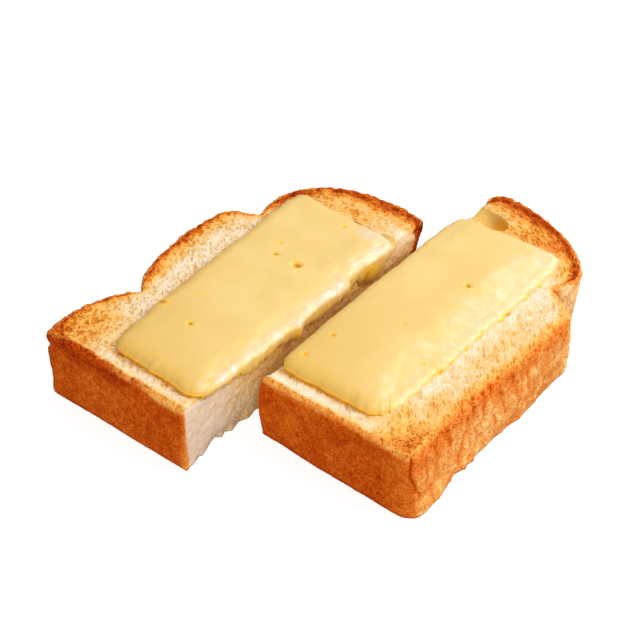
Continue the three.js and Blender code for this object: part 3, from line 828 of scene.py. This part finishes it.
def inset(slab, x, y):
    """The square drawn in on each side by the reach of that side's shoulder."""
    cut, side, foot, dome = slab["shoulder"]
    drawn_x = x + (cut * (1 - x) - side * (1 + x)) / SLAB_WIDTH
    return drawn_x, y + (foot * (1 - y) - dome * (1 + y)) / SLAB_LENGTH


def from_sides(x, y):
    """Distances of places in the square from the slab's cut, side, foot and dome edges."""
    return np.stack([
        (1 + x) / 2 * SLAB_WIDTH, (1 - x) / 2 * SLAB_WIDTH,
        (1 + y) / 2 * SLAB_LENGTH, (1 - y) / 2 * SLAB_LENGTH,
    ])


def by_side(values, x, y):
    """Values for cut, side, foot and dome blended by how near the square's edge is to each."""
    weights = np.stack([np.abs(1 + x), np.abs(1 - x), np.abs(1 + y), np.abs(1 - y)]) + 0.05
    return (np.array(values)[:, None] / weights**2).sum(0) / (1 / weights**2).sum(0)


def bells(y, places, spread):
    """Bells along the slab's edge, summed: one at each (up, half length)."""
    return sum(mound(y, middle, spread * long) for middle, long in places)


def top_height(slab, xy, x, y):
    """Height of the melted top: slow waves, thinner towards its edges and towards the right-hand
    side, with soft lumps along its cut and side edges, and its holes. Gives the height and how deep
    in a hole each point is."""
    seed = slab["seed"]
    gaps = from_sides(x, y)
    cut, side, _, dome = gaps
    weights = 1 / (gaps + 1.5) ** 3
    near = -1.6 * np.log(np.exp(-gaps / 1.6).sum(0))
    fall, reach = (
        (np.array(slab[key])[:, None] * weights).sum(0) / weights.sum(0) for key in ("fall", "fall_reach")
    )
    noise = noise_at(columns(*xy.T, 0.5), seed)
    up = xy[:, 1]
    z = CHEESE_TOP + 0.16 * noise(0.05, 6, 2) + 0.05 * noise(0.25, 7, 2)
    z -= fall * ramp(near / reach, 1, -0.25)
    if slab["half"]["side"] < 0:
        blobs = cloud(columns(*(xy * [0.22, 0.16]).T, 0), seed + 8, 2)
        z += 0.9 * ramp(cut, 16, 2) * ramp(up, 62, 90)
        z += (0.24 + 0.22 * ramp(up, 60, 90)) * blobs * ramp(cut, 9, 4)
        z += 0.25 * blobs * ramp(cut + 0.7 * dome, 22, 6)
    else:
        z -= 0.7 * ramp(cut, 10, 0) * ramp(up, 60, 100)
        z += 0.05 * noise(0.75, 8, 2) * ramp(side, 9, 2)
        z += 0.22 * noise([0.55, 0.42, 1], 8, 2) * ramp(dome, 5, 1)
        z += 0.16 * noise(0.22, 10, 2) * ramp(side, 20, 6)
        z += 0.13 * noise(0.40, 11, 2) * ramp(side, 15, 5) * ramp(up, 55, 80)
    pit = np.zeros(len(x))
    for across, high, radius, deep in slab["holes"]:
        r = np.hypot((xy[:, 0] - across) * 0.8, up - high) / radius
        z = z - deep * np.exp(-(r**2.4)) + 0.08 * deep * mound(r, 1.7, 0.5)
        pit = np.maximum(pit, np.exp(-((r / 1.1) ** 3)) * min(1, 0.35 + deep))
    return z, pit


def wander(slab, xy, n, weight):
    """Slow in-and-out of the edge, stronger at the right-hand side."""
    side = slab["half"]["side"]
    at_cut = ramp(xy[:, 0] * side, 12, 5)
    amount = 0.35 + (0.45 * ramp(xy[:, 0], 25, 38) if side > 0 else 0.15 + 0.3 * at_cut)
    p = columns(*(xy * 0.25).T, slab["seed"])
    small = (0.26 - 0.2 * at_cut) * ramp(weight, 0.8, 1.0) * cloud(p * 3.1, slab["seed"] + 21, 2)
    drawn_back = 1.5 * mound(xy[:, 1], 89, 9) * at_cut * (side < 0)
    return n * (amount * weight * cloud(p, slab["seed"], 3) + small - drawn_back * weight)[:, None]


def hanging(slab, edge, n):
    """Where the slab's edge hangs down the left cut, 0 to 1, and how far it hangs there: the slab's
    skirt table and noise along the edge, nothing at its two ends."""
    hang = ramp(edge[:, 0], -2.0, 1.0) * ramp(n[:, 0], 0.3, 0.8) * (slab["half"]["side"] < 0)
    up = edge[:, 1]
    reach = np.interp(up, *slab["skirt"].T)
    for height, steps, seed in ((0.7, 0.45, 5), (0.45, 1.1, 9)):
        reach = reach + height * cloud(columns(up * steps, 0, 0), slab["seed"] + seed, 2)
    return hang, np.maximum(reach, 0.1) * hang * ramp(up, 6, 10) * ramp(up, 108, 104)


def edge_rings(slab, inner, edge, n, belly, hang, reach):
    """Rings round the slab: a quarter turn over its shoulder, down to the bread or, where it hangs, on
    down the cut as a skirt, then back under it and up to the base. Gives the rings and, for each, how
    far it belongs to the skirt (above 1 towards the skirt's tip) and how far it is below the top."""
    rings, skirt, down = [], [], []
    top = inner[:, 2]

    def add(ring, share, below):
        rings.append(ring)
        skirt.append(share)
        down.append(below)

    for turn in np.linspace(0, np.pi / 2, 10)[1:]:
        xy = inner[:, :2] + (edge - inner[:, :2]) * np.sin(turn)
        z = top - (top - belly) * (1 - np.cos(turn))
        place = columns(*(edge * [0.2, 0.22] + turn).T, 0)
        lump = cloud(place, slab["seed"] + 30, 1) * np.sin(2 * turn)
        lumpy = z + (0.30 + 0.25 * ramp(xy[:, 1], 60, 90)) * lump * hang
        add(np.column_stack([xy, lumpy]), 0.4 * hang * ramp(turn, 1.0, 1.5), top - z)
    tip = (CHEESE_BASE + 0.05) * (1 - hang) + (THICKNESS - reach) * hang
    tip = np.minimum(tip, belly - 0.1)
    drop = np.maximum(belly - tip, 0.1)
    for f in np.linspace(0, 1, 17)[1:]:
        bulge = 0.30 * np.sin(np.pi * f) * ramp(drop, 2, 6) - 0.5 * f**3 * ramp(drop, 3, 1.5)
        bulge = bulge - 0.9 * hang * f**2
        share = hang * (0.4 + 0.6 * ramp(f * drop, 0.0, 2) + 2.0 * f**3)
        add(np.column_stack([edge + n * bulge[:, None], belly - drop * f]), share, top - belly + drop * f)
    back = np.where(hang > 0, -(edge[:, 0] - 0.35) * hang - 1.6 * (1 - hang), -1.6)
    behind = edge + n * back[:, None]
    last, under = rings[-1], np.column_stack([behind, tip + 0.15])
    for f in (0.35, 0.8, 1.0):
        turned = last * (1 - f) + under * f - np.array([0, 0, 0.25]) * np.sin(np.pi * f)
        add(turned, hang, top - CHEESE_BASE)
    for f in (0.33, 0.66, 1.0):
        rise = tip + 0.15 + (CHEESE_BASE - tip - 0.15) * f
        add(np.column_stack([behind, rise]), hang, top - CHEESE_BASE)
    return rings, skirt, down


def amber_and_shade_mask(slab, at):
    """Where the cheese is thin and clear, 0 to 1: tongues of the skirt, holes, a band low on the edges that
    face left and to the front, drops of fat on the right slab and a spot of it on the left. The band is
    partly the clear thin edge and partly painted shade on the sides turned from the light."""
    y = at.p[:, 1]
    # Partly painted shade: a band low on the faces turned left and to the front, away from the light.
    band = np.maximum(
        ramp(at.down, 2.2, 3.0) * ramp(-at.normal[:, 1], 0.15, 0.75),
        ramp(at.down, 1.0, 2.6) * ramp(-at.normal[:, 0], 0.15, 0.75),
    )
    clear = 0.40 * mound(y, 94.0, 2.8) + 0.30 * mound(y, 26.0, 2.0) + 0.30 * mound(y, 11, 2.0)
    clear = clear + 0.22 * ramp(at.noise([0.2, 0.30, 0.2], 12, 2), -0.1, 0.8)
    lobes = np.minimum(at.skirt, 1.0) * (0.12 + clear) + 0.25 * np.maximum(at.skirt - 1.0, 0)
    if at.right:
        drop = np.minimum(bells(y, slab["drops"], 1.25), 1)
        drop = drop * np.clip(0.62 + 0.7 * at.noise(0.22, 17, 2), 0.15, 1)
        drops = (0.04 + 0.96 * drop) * ramp(at.down, 0.60 - 0.35 * drop, 0.95)
        return np.maximum.reduce([lobes, at.pit, band, drops * ramp(at.normal[:, 0], 0.2, 0.8)])
    spot = ((at.p[:, 0] - FAT_SPOT[0]) / 2.2) ** 2 + ((y - FAT_SPOT[1]) / 1.6) ** 2
    return np.maximum.reduce([lobes, at.pit, band, np.exp(-(spot**1.5))])


def pale_fat_and_sheen_mask(slab, at):
    """Where the cheese is whitish, 0 to 1: partly where the fat has drawn off, partly painted sheen and
    highlights. On the right slab mottled towards its side, which is turned to the light; on the left one
    towards its cut and dome, with painted highlights along the cut edge and a patch of painted sheen near
    the far corner; never on the skirt, less down the edges."""
    if at.right:
        # Partly painted sheen: whiter towards the side that is turned to the light.
        pale = ramp(at.x, 0.0, 0.9) * (0.55 + 0.45 * ramp(at.y, -0.5, 0.5))
        pale = pale + 0.20 * at.noise(0.17, 13, 2) + 0.24 * at.noise(0.42, 18, 2)
        pale = 0.40 * ramp(pale, 0.2, 0.8)
    else:
        pale = ramp(-at.x, 0.62, 0.92) * (0.55 + 0.45 * ramp(at.y, -0.9, 0.5)) * ramp(at.y, -1.05, -0.8)
        pale = np.maximum(pale, ramp(at.y - at.x, 1.40, 1.75))
        pale = 0.6 * pale * np.clip(0.8 + 0.6 * at.noise(0.2, 13), 0, 1.2)
        # Painted highlights: whitish spots along the cut edge, on its rounded shoulder.
        highlight_gleams = 0.78 * np.minimum(bells(at.p[:, 1], slab["highlight_gleams"], 1.45), 1)
        pale = np.maximum(pale, highlight_gleams * ramp(at.down, 2.2, 1.2) * ramp(-at.x, 0.80, 0.92))
        # Painted sheen: a whitish patch near the far corner.
        far = mound(at.x, -0.56, 0.25) * mound(at.y, 0.93, 0.06)
        pale = np.maximum(pale, far * np.clip(0.75 + 0.5 * at.noise(0.4, 16, 2), 0, 1))
    return pale * np.clip(1 - at.skirt, 0, 1) * (1 - 0.6 * ramp(at.down, 1.2, 2.4))


def thin_and_shade_mask(at):
    """Where the cheese runs out thin over the bread, 0 to 1: along the foot and one side, and on the left
    slab down the cut edge too. Its darker colour is partly the thin melt and partly painted shade on these
    edges, which turn away from the light or lie in the gap."""
    cut, side, foot, _ = from_sides(at.x, at.y)
    thin = np.maximum(ramp(foot, 8, 2), 0.6 * ramp(cut, 4, 1) if at.right else ramp(side, 5, 1))
    thin = thin * (0.45 + 0.55 * ramp(at.down, 0.2, 2.2))
    if at.right:
        return thin
    return np.maximum(thin, 0.6 * ramp(at.down, 1.2, 2.6) * ramp(at.normal[:, 0], 0.4, 0.8))


def cheese(slab):
    """A slab: a square grid stretched to the inner edge of its rounded shoulder, then rings that turn
    down over the shoulder to the bread or, along the left cut, on down as a skirt with tongues, and
    back under to the middle of the base. Masks for the material go with the points."""
    half = slab["half"]
    x, y = np.meshgrid(
        np.linspace(-1, 1, SLAB_COLUMNS + 1), np.linspace(-1, 1, SLAB_ROWS + 1), indexing="ij"
    )
    index = np.arange(x.size).reshape(x.shape)
    loop = np.concatenate([index[-1, :-1], index[:0:-1, -1], index[0, :0:-1], index[:-1, 0]])
    x = (np.sign(x) * (1 - (1 - np.abs(x)) ** 1.2)).ravel()
    y = (np.sign(y) * (1 - (1 - np.abs(y)) ** 1.1)).ravel()
    size = np.maximum(np.abs(x), np.abs(y))
    x = np.where(size < 1e-9, 1e-4, x)  # the middle has no direction of its own
    size = np.maximum(size, 1e-4)

    # The edge where the slab stands on the bread.
    edge_x, edge_y = x[loop], y[loop]
    edge, n = slab_point(slab, edge_x, edge_y), outward(slab, edge_x, edge_y)
    hang, reach = hanging(slab, edge, n)
    edge = edge + wander(slab, slab_point(slab, *inset(slab, edge_x, edge_y)), n, 1.0)
    edge = edge + n * (0.9 * bells(edge[:, 1], slab["drops"], 0.8) * ramp(n[:, 0], 0.5, 0.9))[:, None]

    # The top, and the rings that start from its outline.
    top_x, top_y = inset(slab, x, y)
    top = slab_point(slab, top_x, top_y)
    top = top + wander(slab, top, outward(slab, x / size, y / size), ramp((1 - size) * SLAB_WIDTH / 2, 9, 0))
    top_z, pit = top_height(slab, top, top_x, top_y)
    top = np.column_stack([top, top_z])
    inner = top[loop]
    belly = CHEESE_BASE + by_side(slab["left_at_foot"], edge_x, edge_y) * (inner[:, 2] - CHEESE_BASE)
    rings, skirt, down = edge_rings(slab, inner, edge, n, belly, hang, reach)

    points = np.concatenate([top, *rings, [[*slab["corners"].mean(0), CHEESE_BASE]]])
    quads = [np.stack([index[:-1, :-1], index[1:, :-1], index[1:, 1:], index[:-1, 1:]], -1).reshape(-1, 4)]
    before = loop
    for k in range(len(rings)):
        now = len(top) + k * len(loop) + np.arange(len(loop))
        quads.append(np.column_stack([before, now, np.roll(now, -1), np.roll(before, -1)]))
        before = now
    quads = np.concatenate(quads)
    triangles = np.column_stack([before, np.full(len(loop), len(points) - 1), np.roll(before, -1)])
    normals = point_normals(points, quads, triangles)
    if normals[:len(top), 2].mean() < 0:
        quads, triangles, normals = quads[:, ::-1], triangles[:, ::-1], -normals

    flat = np.zeros(len(top))
    at = SimpleNamespace(
        right=half["side"] > 0, p=points, noise=noise_at(points, slab["seed"]), normal=normals,
        x=np.concatenate([top_x, np.tile(edge_x, len(rings)), [0]]),
        y=np.concatenate([top_y, np.tile(edge_y, len(rings)), [0]]),
        skirt=np.concatenate([flat, *skirt, [0]]), down=np.concatenate([flat, *down, [0]]),
        pit=np.concatenate([pit, np.zeros(len(points) - len(top))]),
    )
    masks = dict(
        amber=amber_and_shade_mask(slab, at), pale=pale_fat_and_sheen_mask(slab, at),
        yellow=ramp(-0.5 * at.x * half["side"] - at.y, 0.0, 1.4), thin=thin_and_shade_mask(at),
    )
    return points + [half["cut"], half["slide"], 0], quads, triangles, in_range(masks)


# ---- Materials ------------------------------------------------------------------------------------


class Tree:
    """Short hand for building a node tree: every call makes one node and links its inputs."""

    def __init__(self, tree):
        self.tree = tree

    def node(self, kind, inputs=(), **settings):
        made = self.tree.nodes.new(kind)
        for key, value in settings.items():
            setattr(made, key, value)
        for key, value in dict(inputs).items():
            if isinstance(value, bpy.types.NodeSocket):
                self.tree.links.new(value, made.inputs[key])
            else:
                made.inputs[key].default_value = value
        return made

    def math(self, operation, *values):
        return self.node("ShaderNodeMath", enumerate(values), operation=operation).outputs[0]

    def mix(self, factor, a, b, blend="MIX"):
        made = self.node("ShaderNodeMix", {0: factor, 6: a, 7: b}, data_type="RGBA", blend_type=blend)
        return made.outputs[2]

    def smooth(self, value, low, high, to_low=0.0, to_high=1.0):
        made = self.node(
            "ShaderNodeMapRange", {0: value, 1: low, 2: high, 3: to_low, 4: to_high},
            interpolation_type="SMOOTHSTEP",
        )
        return made.outputs[0]

    def attribute(self, name, output="Fac"):
        return self.node("ShaderNodeAttribute", attribute_name=name).outputs[output]

    def colours(self, value, stops):
        made = self.node("ShaderNodeValToRGB", {0: value})
        elements = made.color_ramp.elements
        while len(elements) < len(stops):
            elements.new(0.5)
        for element, (place, colour) in zip(elements, stops):
            element.position = place
            element.color = (*colour, 1)
        return made.outputs[0]


def group(name, inputs, outputs):
    """An empty node group with named inputs (float or vector) and outputs, and its two end nodes."""
    tree = bpy.data.node_groups.new(name, "ShaderNodeTree")
    for label, (kind, value) in inputs.items():
        socket = tree.interface.new_socket(label, in_out="INPUT", socket_type=kind)
        if value is not None:
            socket.default_value = value
    for label, kind in outputs.items():
        tree.interface.new_socket(label, in_out="OUTPUT", socket_type=kind)
    return tree, tree.nodes.new("NodeGroupInput"), tree.nodes.new("NodeGroupOutput")


def fine_grain_group():
    """Fine grain shared by bread and cheese: noise on Object coordinates."""
    tree, into, out = group(
        "Fine grain",
        {"Scale": ("NodeSocketFloat", 900.0), "Detail": ("NodeSocketFloat", 3.0)},
        {"Value": "NodeSocketFloat"},
    )
    t = Tree(tree)
    place = t.node("ShaderNodeTexCoord").outputs["Object"]
    noise = t.node("ShaderNodeTexNoise", {
        "Vector": place, "Scale": into.outputs["Scale"], "Detail": into.outputs["Detail"], "Roughness": 0.6,
    })
    tree.links.new(noise.outputs["Fac"], out.inputs["Value"])
    return tree


FINE_GRAIN = fine_grain_group()


def grain(t, scale, detail=3.0):
    """Fine grain placed in a material."""
    made = t.node("ShaderNodeGroup", {"Scale": scale, "Detail": detail}, node_tree=FINE_GRAIN)
    return made.outputs["Value"]


def new_material(name, settings):
    """A material with a Principled shader set by the names of its sockets."""
    material = bpy.data.materials.new(name)
    material.use_nodes = True
    material.node_tree.nodes.clear()
    t = Tree(material.node_tree)
    shader = t.node("ShaderNodeBsdfPrincipled", settings)
    t.node("ShaderNodeOutputMaterial", {"Surface": shader.outputs[0]})
    return material, t, shader


def colour_and_bump(t, shader, colour, bump):
    """Links a colour and a bump, given by its height, strength and distance, to the shader."""
    made = t.node("ShaderNodeBump", bump)
    t.tree.links.new(colour, shader.inputs["Base Color"])
    t.tree.links.new(made.outputs[0], shader.inputs["Normal"])


# Crumb from pale to dark toast: (place, colour on its ridges, colour in its pores). The pores' colour is
# darker partly as the crumb's own colour and partly as painted shade in the hollows.
CRUMB_RIDGE_AND_SHADED_PORE_COLOURS = [
    (0.0, (0.85, 0.73, 0.57), (0.75, 0.57, 0.35)),
    (0.18, (0.84, 0.59, 0.295), (0.74, 0.41, 0.115)),
    (0.42, (0.89, 0.47, 0.110), (0.70, 0.255, 0.018)),
    (0.66, (0.70, 0.19, 0.018), (0.44, 0.066, 0.002)),
    (0.90, (0.46, 0.062, 0.004), (0.22, 0.018, 0.001)),
]
# Crust from lightly to darkly baked: (place, colour).
CRUST_COLOURS = [
    (0.0, (0.93, 0.78, 0.52)),
    (0.10, (0.93, 0.62, 0.27)),
    (0.20, (0.88, 0.41, 0.108)),
    (0.30, (0.73, 0.250, 0.050)),
    (0.45, (0.70, 0.165, 0.014)),
    (0.60, (0.56, 0.082, 0.002)),
    (0.80, (0.35, 0.031, 0.0008)),
    (1.0, (0.12, 0.008, 0.0005)),
]
PINKISH_TINT = (0.84, 0.77, 0.76, 1)
GLAZE_EDGE, GLAZE = (0.68, 0.43, 0.12, 1), (0.76, 0.32, 0.022, 1)
CHEESE_DEEPER, CHEESE_LIGHTER = (0.76, 0.53, 0.175, 1), (0.80, 0.565, 0.21, 1)
# The second is the thin edges' colour, partly painted shade on the edges turned from the light.
CHEESE_YELLOW, CHEESE_THIN_AND_SHADE = (0.72, 0.47, 0.125, 1), (0.74, 0.43, 0.062, 1)
# Whitish cheese where the fat has drawn off, also used as painted sheen (first) and painted highlights
# (second).
CHEESE_PALE_AND_SHEEN, CHEESE_WHITE_HIGHLIGHT = (0.76, 0.588, 0.35, 1), (0.87, 0.80, 0.71, 1)
# Amber of clear thin cheese and holes; on the band low on the edges turned from the light it is partly
# painted shade.
AMBER_EDGE, AMBER = (0.92, 0.52, 0.045, 1), (0.62, 0.26, 0.007, 1)


def crumb_cells_group():
    """Open cells of crumb at coordinates in which they are one across: 0 on the ridges between them,
    up to 1 in the middle of the deepest."""
    tree, into, out = group(
        "Crumb cells",
        {"Place": ("NodeSocketVector", None), "Bend": ("NodeSocketFloat", 0.9)},
        {"Hollow": "NodeSocketFloat"},
    )
    t = Tree(tree)
    waves = t.node("ShaderNodeTexNoise", {"Vector": into.outputs["Place"], "Scale": 0.9, "Detail": 2.0})
    mean = (0.5, 0.5, 0.5)
    aside = t.node("ShaderNodeVectorMath", {0: waves.outputs["Color"], 1: mean}, operation="SUBTRACT")
    bent = t.node("ShaderNodeVectorMath", {
        0: aside.outputs[0], 1: into.outputs["Bend"], 2: into.outputs["Place"],
    }, operation="MULTIPLY_ADD")

    def voronoi(scale, feature):
        return t.node("ShaderNodeTexVoronoi", {"Vector": bent.outputs[0], "Scale": scale}, feature=feature)

    ridge = voronoi(1.0, "DISTANCE_TO_EDGE")
    chance = t.node("ShaderNodeSeparateColor", {0: voronoi(1.0, "F1").outputs["Color"]}).outputs[0]
    hollow = t.math(
        "MULTIPLY", t.smooth(ridge.outputs["Distance"], 0.02, 0.25), t.smooth(chance, 0.05, 0.95, 0.30, 1.0)
    )
    finer = voronoi(2.2, "DISTANCE_TO_EDGE")
    hollow = t.math("MAXIMUM", hollow, t.smooth(finer.outputs["Distance"], 0.02, 0.24, 0.0, 0.20))
    tree.links.new(hollow, out.inputs["Hollow"])
    return tree


CRUMB_CELLS = crumb_cells_group()


def crumb_cells(t, place):
    """Crumb cells placed in a material."""
    return t.node("ShaderNodeGroup", {"Place": place}, node_tree=CRUMB_CELLS).outputs["Hollow"]


def bread_material():
    """Toasted bread: crumb from cream to dark toast, darker in its pores, partly as painted shade, and baked
    crust with painted shade in its creases; masks for crust, toasting, pores, baking and the smooth pocket
    come from the piece's own attributes."""
    material, t, shader = new_material("Toasted bread", {
        "Roughness": 0.7, "Specular IOR Level": 0.04, "Subsurface Weight": 0.08,
        "Subsurface Radius": (1.0, 0.45, 0.2), "Subsurface Scale": 0.0008,
    })
    crust, toast, pore, bake, pocket, pinkish, open_cells, dome = (
        t.attribute(a) for a in ("crust", "toast", "pore", "bake", "pocket", "pinkish", "open_cells", "dome")
    )
    fine, coarse = grain(t, 1500.0), grain(t, 420.0)
    square = crumb_cells(t, t.attribute("cell_place", "Vector"))
    by_rim = crumb_cells(t, t.attribute("rim_place", "Vector"))
    square = t.math("MULTIPLY", square, t.math("SUBTRACT", 1.0, dome))
    small = t.math("MULTIPLY", t.math("ADD", square, t.math("MULTIPLY", by_rim, dome)), open_cells)
    jitter = t.math("ADD", t.smooth(coarse, 0.3, 0.7, -0.06, 0.06), t.smooth(fine, 0.32, 0.68, -0.10, 0.10))
    depth = t.math("MAXIMUM", pore, small)
    toast_here = t.math("ADD", toast, jitter)
    ridge = t.colours(toast_here, [(place, colour) for place, colour, _ in CRUMB_RIDGE_AND_SHADED_PORE_COLOURS])
    hollow = t.colours(toast_here, [(place, colour) for place, _, colour in CRUMB_RIDGE_AND_SHADED_PORE_COLOURS])
    # Partly painted shade: pores and the material's cells take the darker pore colour.
    crumb = t.mix(t.smooth(depth, 0.05, 0.80), ridge, hollow)
    crumb = t.mix(pinkish, crumb, t.mix(1.0, crumb, PINKISH_TINT, "MULTIPLY"))
    specks = t.math("MULTIPLY_ADD", small, 0.28, t.smooth(fine, 0.38, 0.28, 0.0, 0.12))
    baked = t.colours(t.math("MULTIPLY_ADD", jitter, 1.1, t.math("ADD", bake, specks)), CRUST_COLOURS)
    colour = t.mix(crust, crumb, baked)
    glaze = t.mix(t.smooth(pocket, 0.1, 0.9), GLAZE_EDGE, GLAZE)
    colour = t.mix(t.smooth(pocket, 0.0, 0.12), colour, glaze)
    height = t.math("ADD", t.math("MULTIPLY", fine, 0.30), t.math("MULTIPLY", coarse, 0.50))
    height = t.math("SUBTRACT", height, t.math("MULTIPLY", small, 0.60))
    colour_and_bump(t, shader, colour, {"Height": height, "Strength": 0.60, "Distance": 0.0006})
    return material


def cheese_material():
    """Melted cheese: pale yellow, whiter where the fat has drawn off and with painted sheen and highlights,
    amber where it is thin or pierced, darker with painted shade on edges turned from the light, soft light
    inside it, glossy."""
    material, t, shader = new_material("Melted cheese", {
        "Roughness": 0.34, "Specular IOR Level": 0.42, "Subsurface Weight": 0.40,
        "Subsurface Radius": (1.0, 0.62, 0.22), "Subsurface Scale": 0.0022,
    })
    amber, pale, yellow, thin = (t.attribute(a) for a in ("amber", "pale", "yellow", "thin"))
    broad, fine, spots = grain(t, 55.0, 2.0), grain(t, 700.0), grain(t, 260.0, 2.0)
    body = t.mix(t.smooth(broad, 0.35, 0.65), CHEESE_DEEPER, CHEESE_LIGHTER)
    body = t.mix(yellow, body, CHEESE_YELLOW)
    # Painted sheen and highlights, partly fat drawn off: whiter with the pale mask.
    paler = t.math("MULTIPLY", pale, t.smooth(spots, 0.3, 0.65, 0.65, 1.0))
    body = t.mix(t.smooth(paler, 0.0, 0.6), body, CHEESE_PALE_AND_SHEEN)
    body = t.mix(t.smooth(paler, 0.55, 1.0), body, CHEESE_WHITE_HIGHLIGHT)
    # Partly painted shade: the thin edges turned from the light are darker.
    body = t.mix(t.math("MULTIPLY", thin, 0.8), body, CHEESE_THIN_AND_SHADE)
    colour = t.mix(t.smooth(amber, 0.03, 0.50), body, AMBER_EDGE)
    colour = t.mix(t.smooth(amber, 0.45, 0.95), colour, AMBER)
    colour_and_bump(t, shader, colour, {"Height": fine, "Strength": 0.12, "Distance": 0.0004})
    return material


# ---- Pieces ---------------------------------------------------------------------------------------

BREAD = bread_material()
CHEESE = cheese_material()

for half in (LEFT, RIGHT):
    piece = mesh_object(half["name"] + "_toast", *bread(half), BREAD)
    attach(piece, "root")
    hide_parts(half["name"] + "_bread")

for slab in (LEFT_SLAB, RIGHT_SLAB):
    name = slab["half"]["name"]
    piece = mesh_object(name + "_melt", *cheese(slab), CHEESE)
    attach(piece, "root")
    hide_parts(name + "_cheese")

# ---- Floor, light and camera ----------------------------------------------------------------------


def make_floor():
    """A wide pale sheet with light of its own, so that shadows on it stay faint."""
    bpy.ops.mesh.primitive_plane_add(size=6.0)
    floor = bpy.context.object
    floor.name = "floor"
    material, t, shader = new_material("Pale floor", {
        "Base Color": (0.29, 0.29, 0.29, 1), "Roughness": 0.9, "Specular IOR Level": 0.0,
        "Emission Color": (1, 1, 1, 1),
    })
    seen = t.node("ShaderNodeLightPath").outputs["Is Camera Ray"]
    t.tree.links.new(t.math("MULTIPLY_ADD", seen, 0.72, 0.10), shader.inputs["Emission Strength"])
    floor.data.materials.append(material)


def area_light(name, place, aim, size, power, colour=(1, 1, 1), mirrored=True):
    """A square light that faces a point; mirrored says whether glossy surfaces show it."""
    light = bpy.data.lights.new(name, "AREA")
    light.shape = "SQUARE"
    light.size = size
    light.energy = power
    light.color = colour
    obj = bpy.data.objects.new(name, light)
    obj.location = place
    obj.rotation_euler = (Vector(aim) - Vector(place)).to_track_quat("-Z", "Y").to_euler()
    obj.visible_glossy = mirrored
    bpy.context.scene.collection.objects.link(obj)


def make_lights():
    """A large soft key from behind on the right, a weak fill from the front, and a white room."""
    area_light("key", (0.72, 0.58, 0.98), (0, 0, 0.02), size=0.7, power=12.6, colour=(1, 0.99, 0.97))
    area_light("back", (-0.05, 1.15, 0.80), (0.02, 0, 0.02), size=0.6, power=4.6)
    area_light("fill", (0.75, -1.10, 0.50), (0, 0, 0.02), size=0.9, power=10.0, mirrored=False)
    world = bpy.data.worlds.new("White room")
    world.use_nodes = True
    background = world.node_tree.nodes["Background"]
    background.inputs["Color"].default_value = (1, 1, 1, 1)
    background.inputs["Strength"].default_value = 0.55
    bpy.context.scene.world = world


CAMERA_TURN = np.radians(39.34)  # round the upright axis, from straight in front of the foot
CAMERA_TILT = np.radians(40.26)  # above the table
CAMERA_DISTANCE = 0.7019
CAMERA_LENS = 111.63
LOOK_AT = np.array([-13.83, 85.65, 0.0])  # slice frame, millimetres


def make_camera():
    """The camera, from in front on the right and above."""
    camera = bpy.data.cameras.new("camera")
    camera.lens = CAMERA_LENS
    camera.sensor_width = 36.0
    obj = bpy.data.objects.new("camera", camera)
    level = np.cos(CAMERA_TILT)
    back = Vector((np.sin(CAMERA_TURN) * level, -np.cos(CAMERA_TURN) * level, np.sin(CAMERA_TILT)))
    obj.location = Vector(to_row(LOOK_AT)) + back * CAMERA_DISTANCE
    obj.rotation_euler = back.to_track_quat("Z", "Y").to_euler()
    bpy.context.scene.collection.objects.link(obj)
    bpy.context.scene.camera = obj


make_floor()
make_lights()
make_camera()
bpy.context.scene.view_settings.view_transform = "Standard"
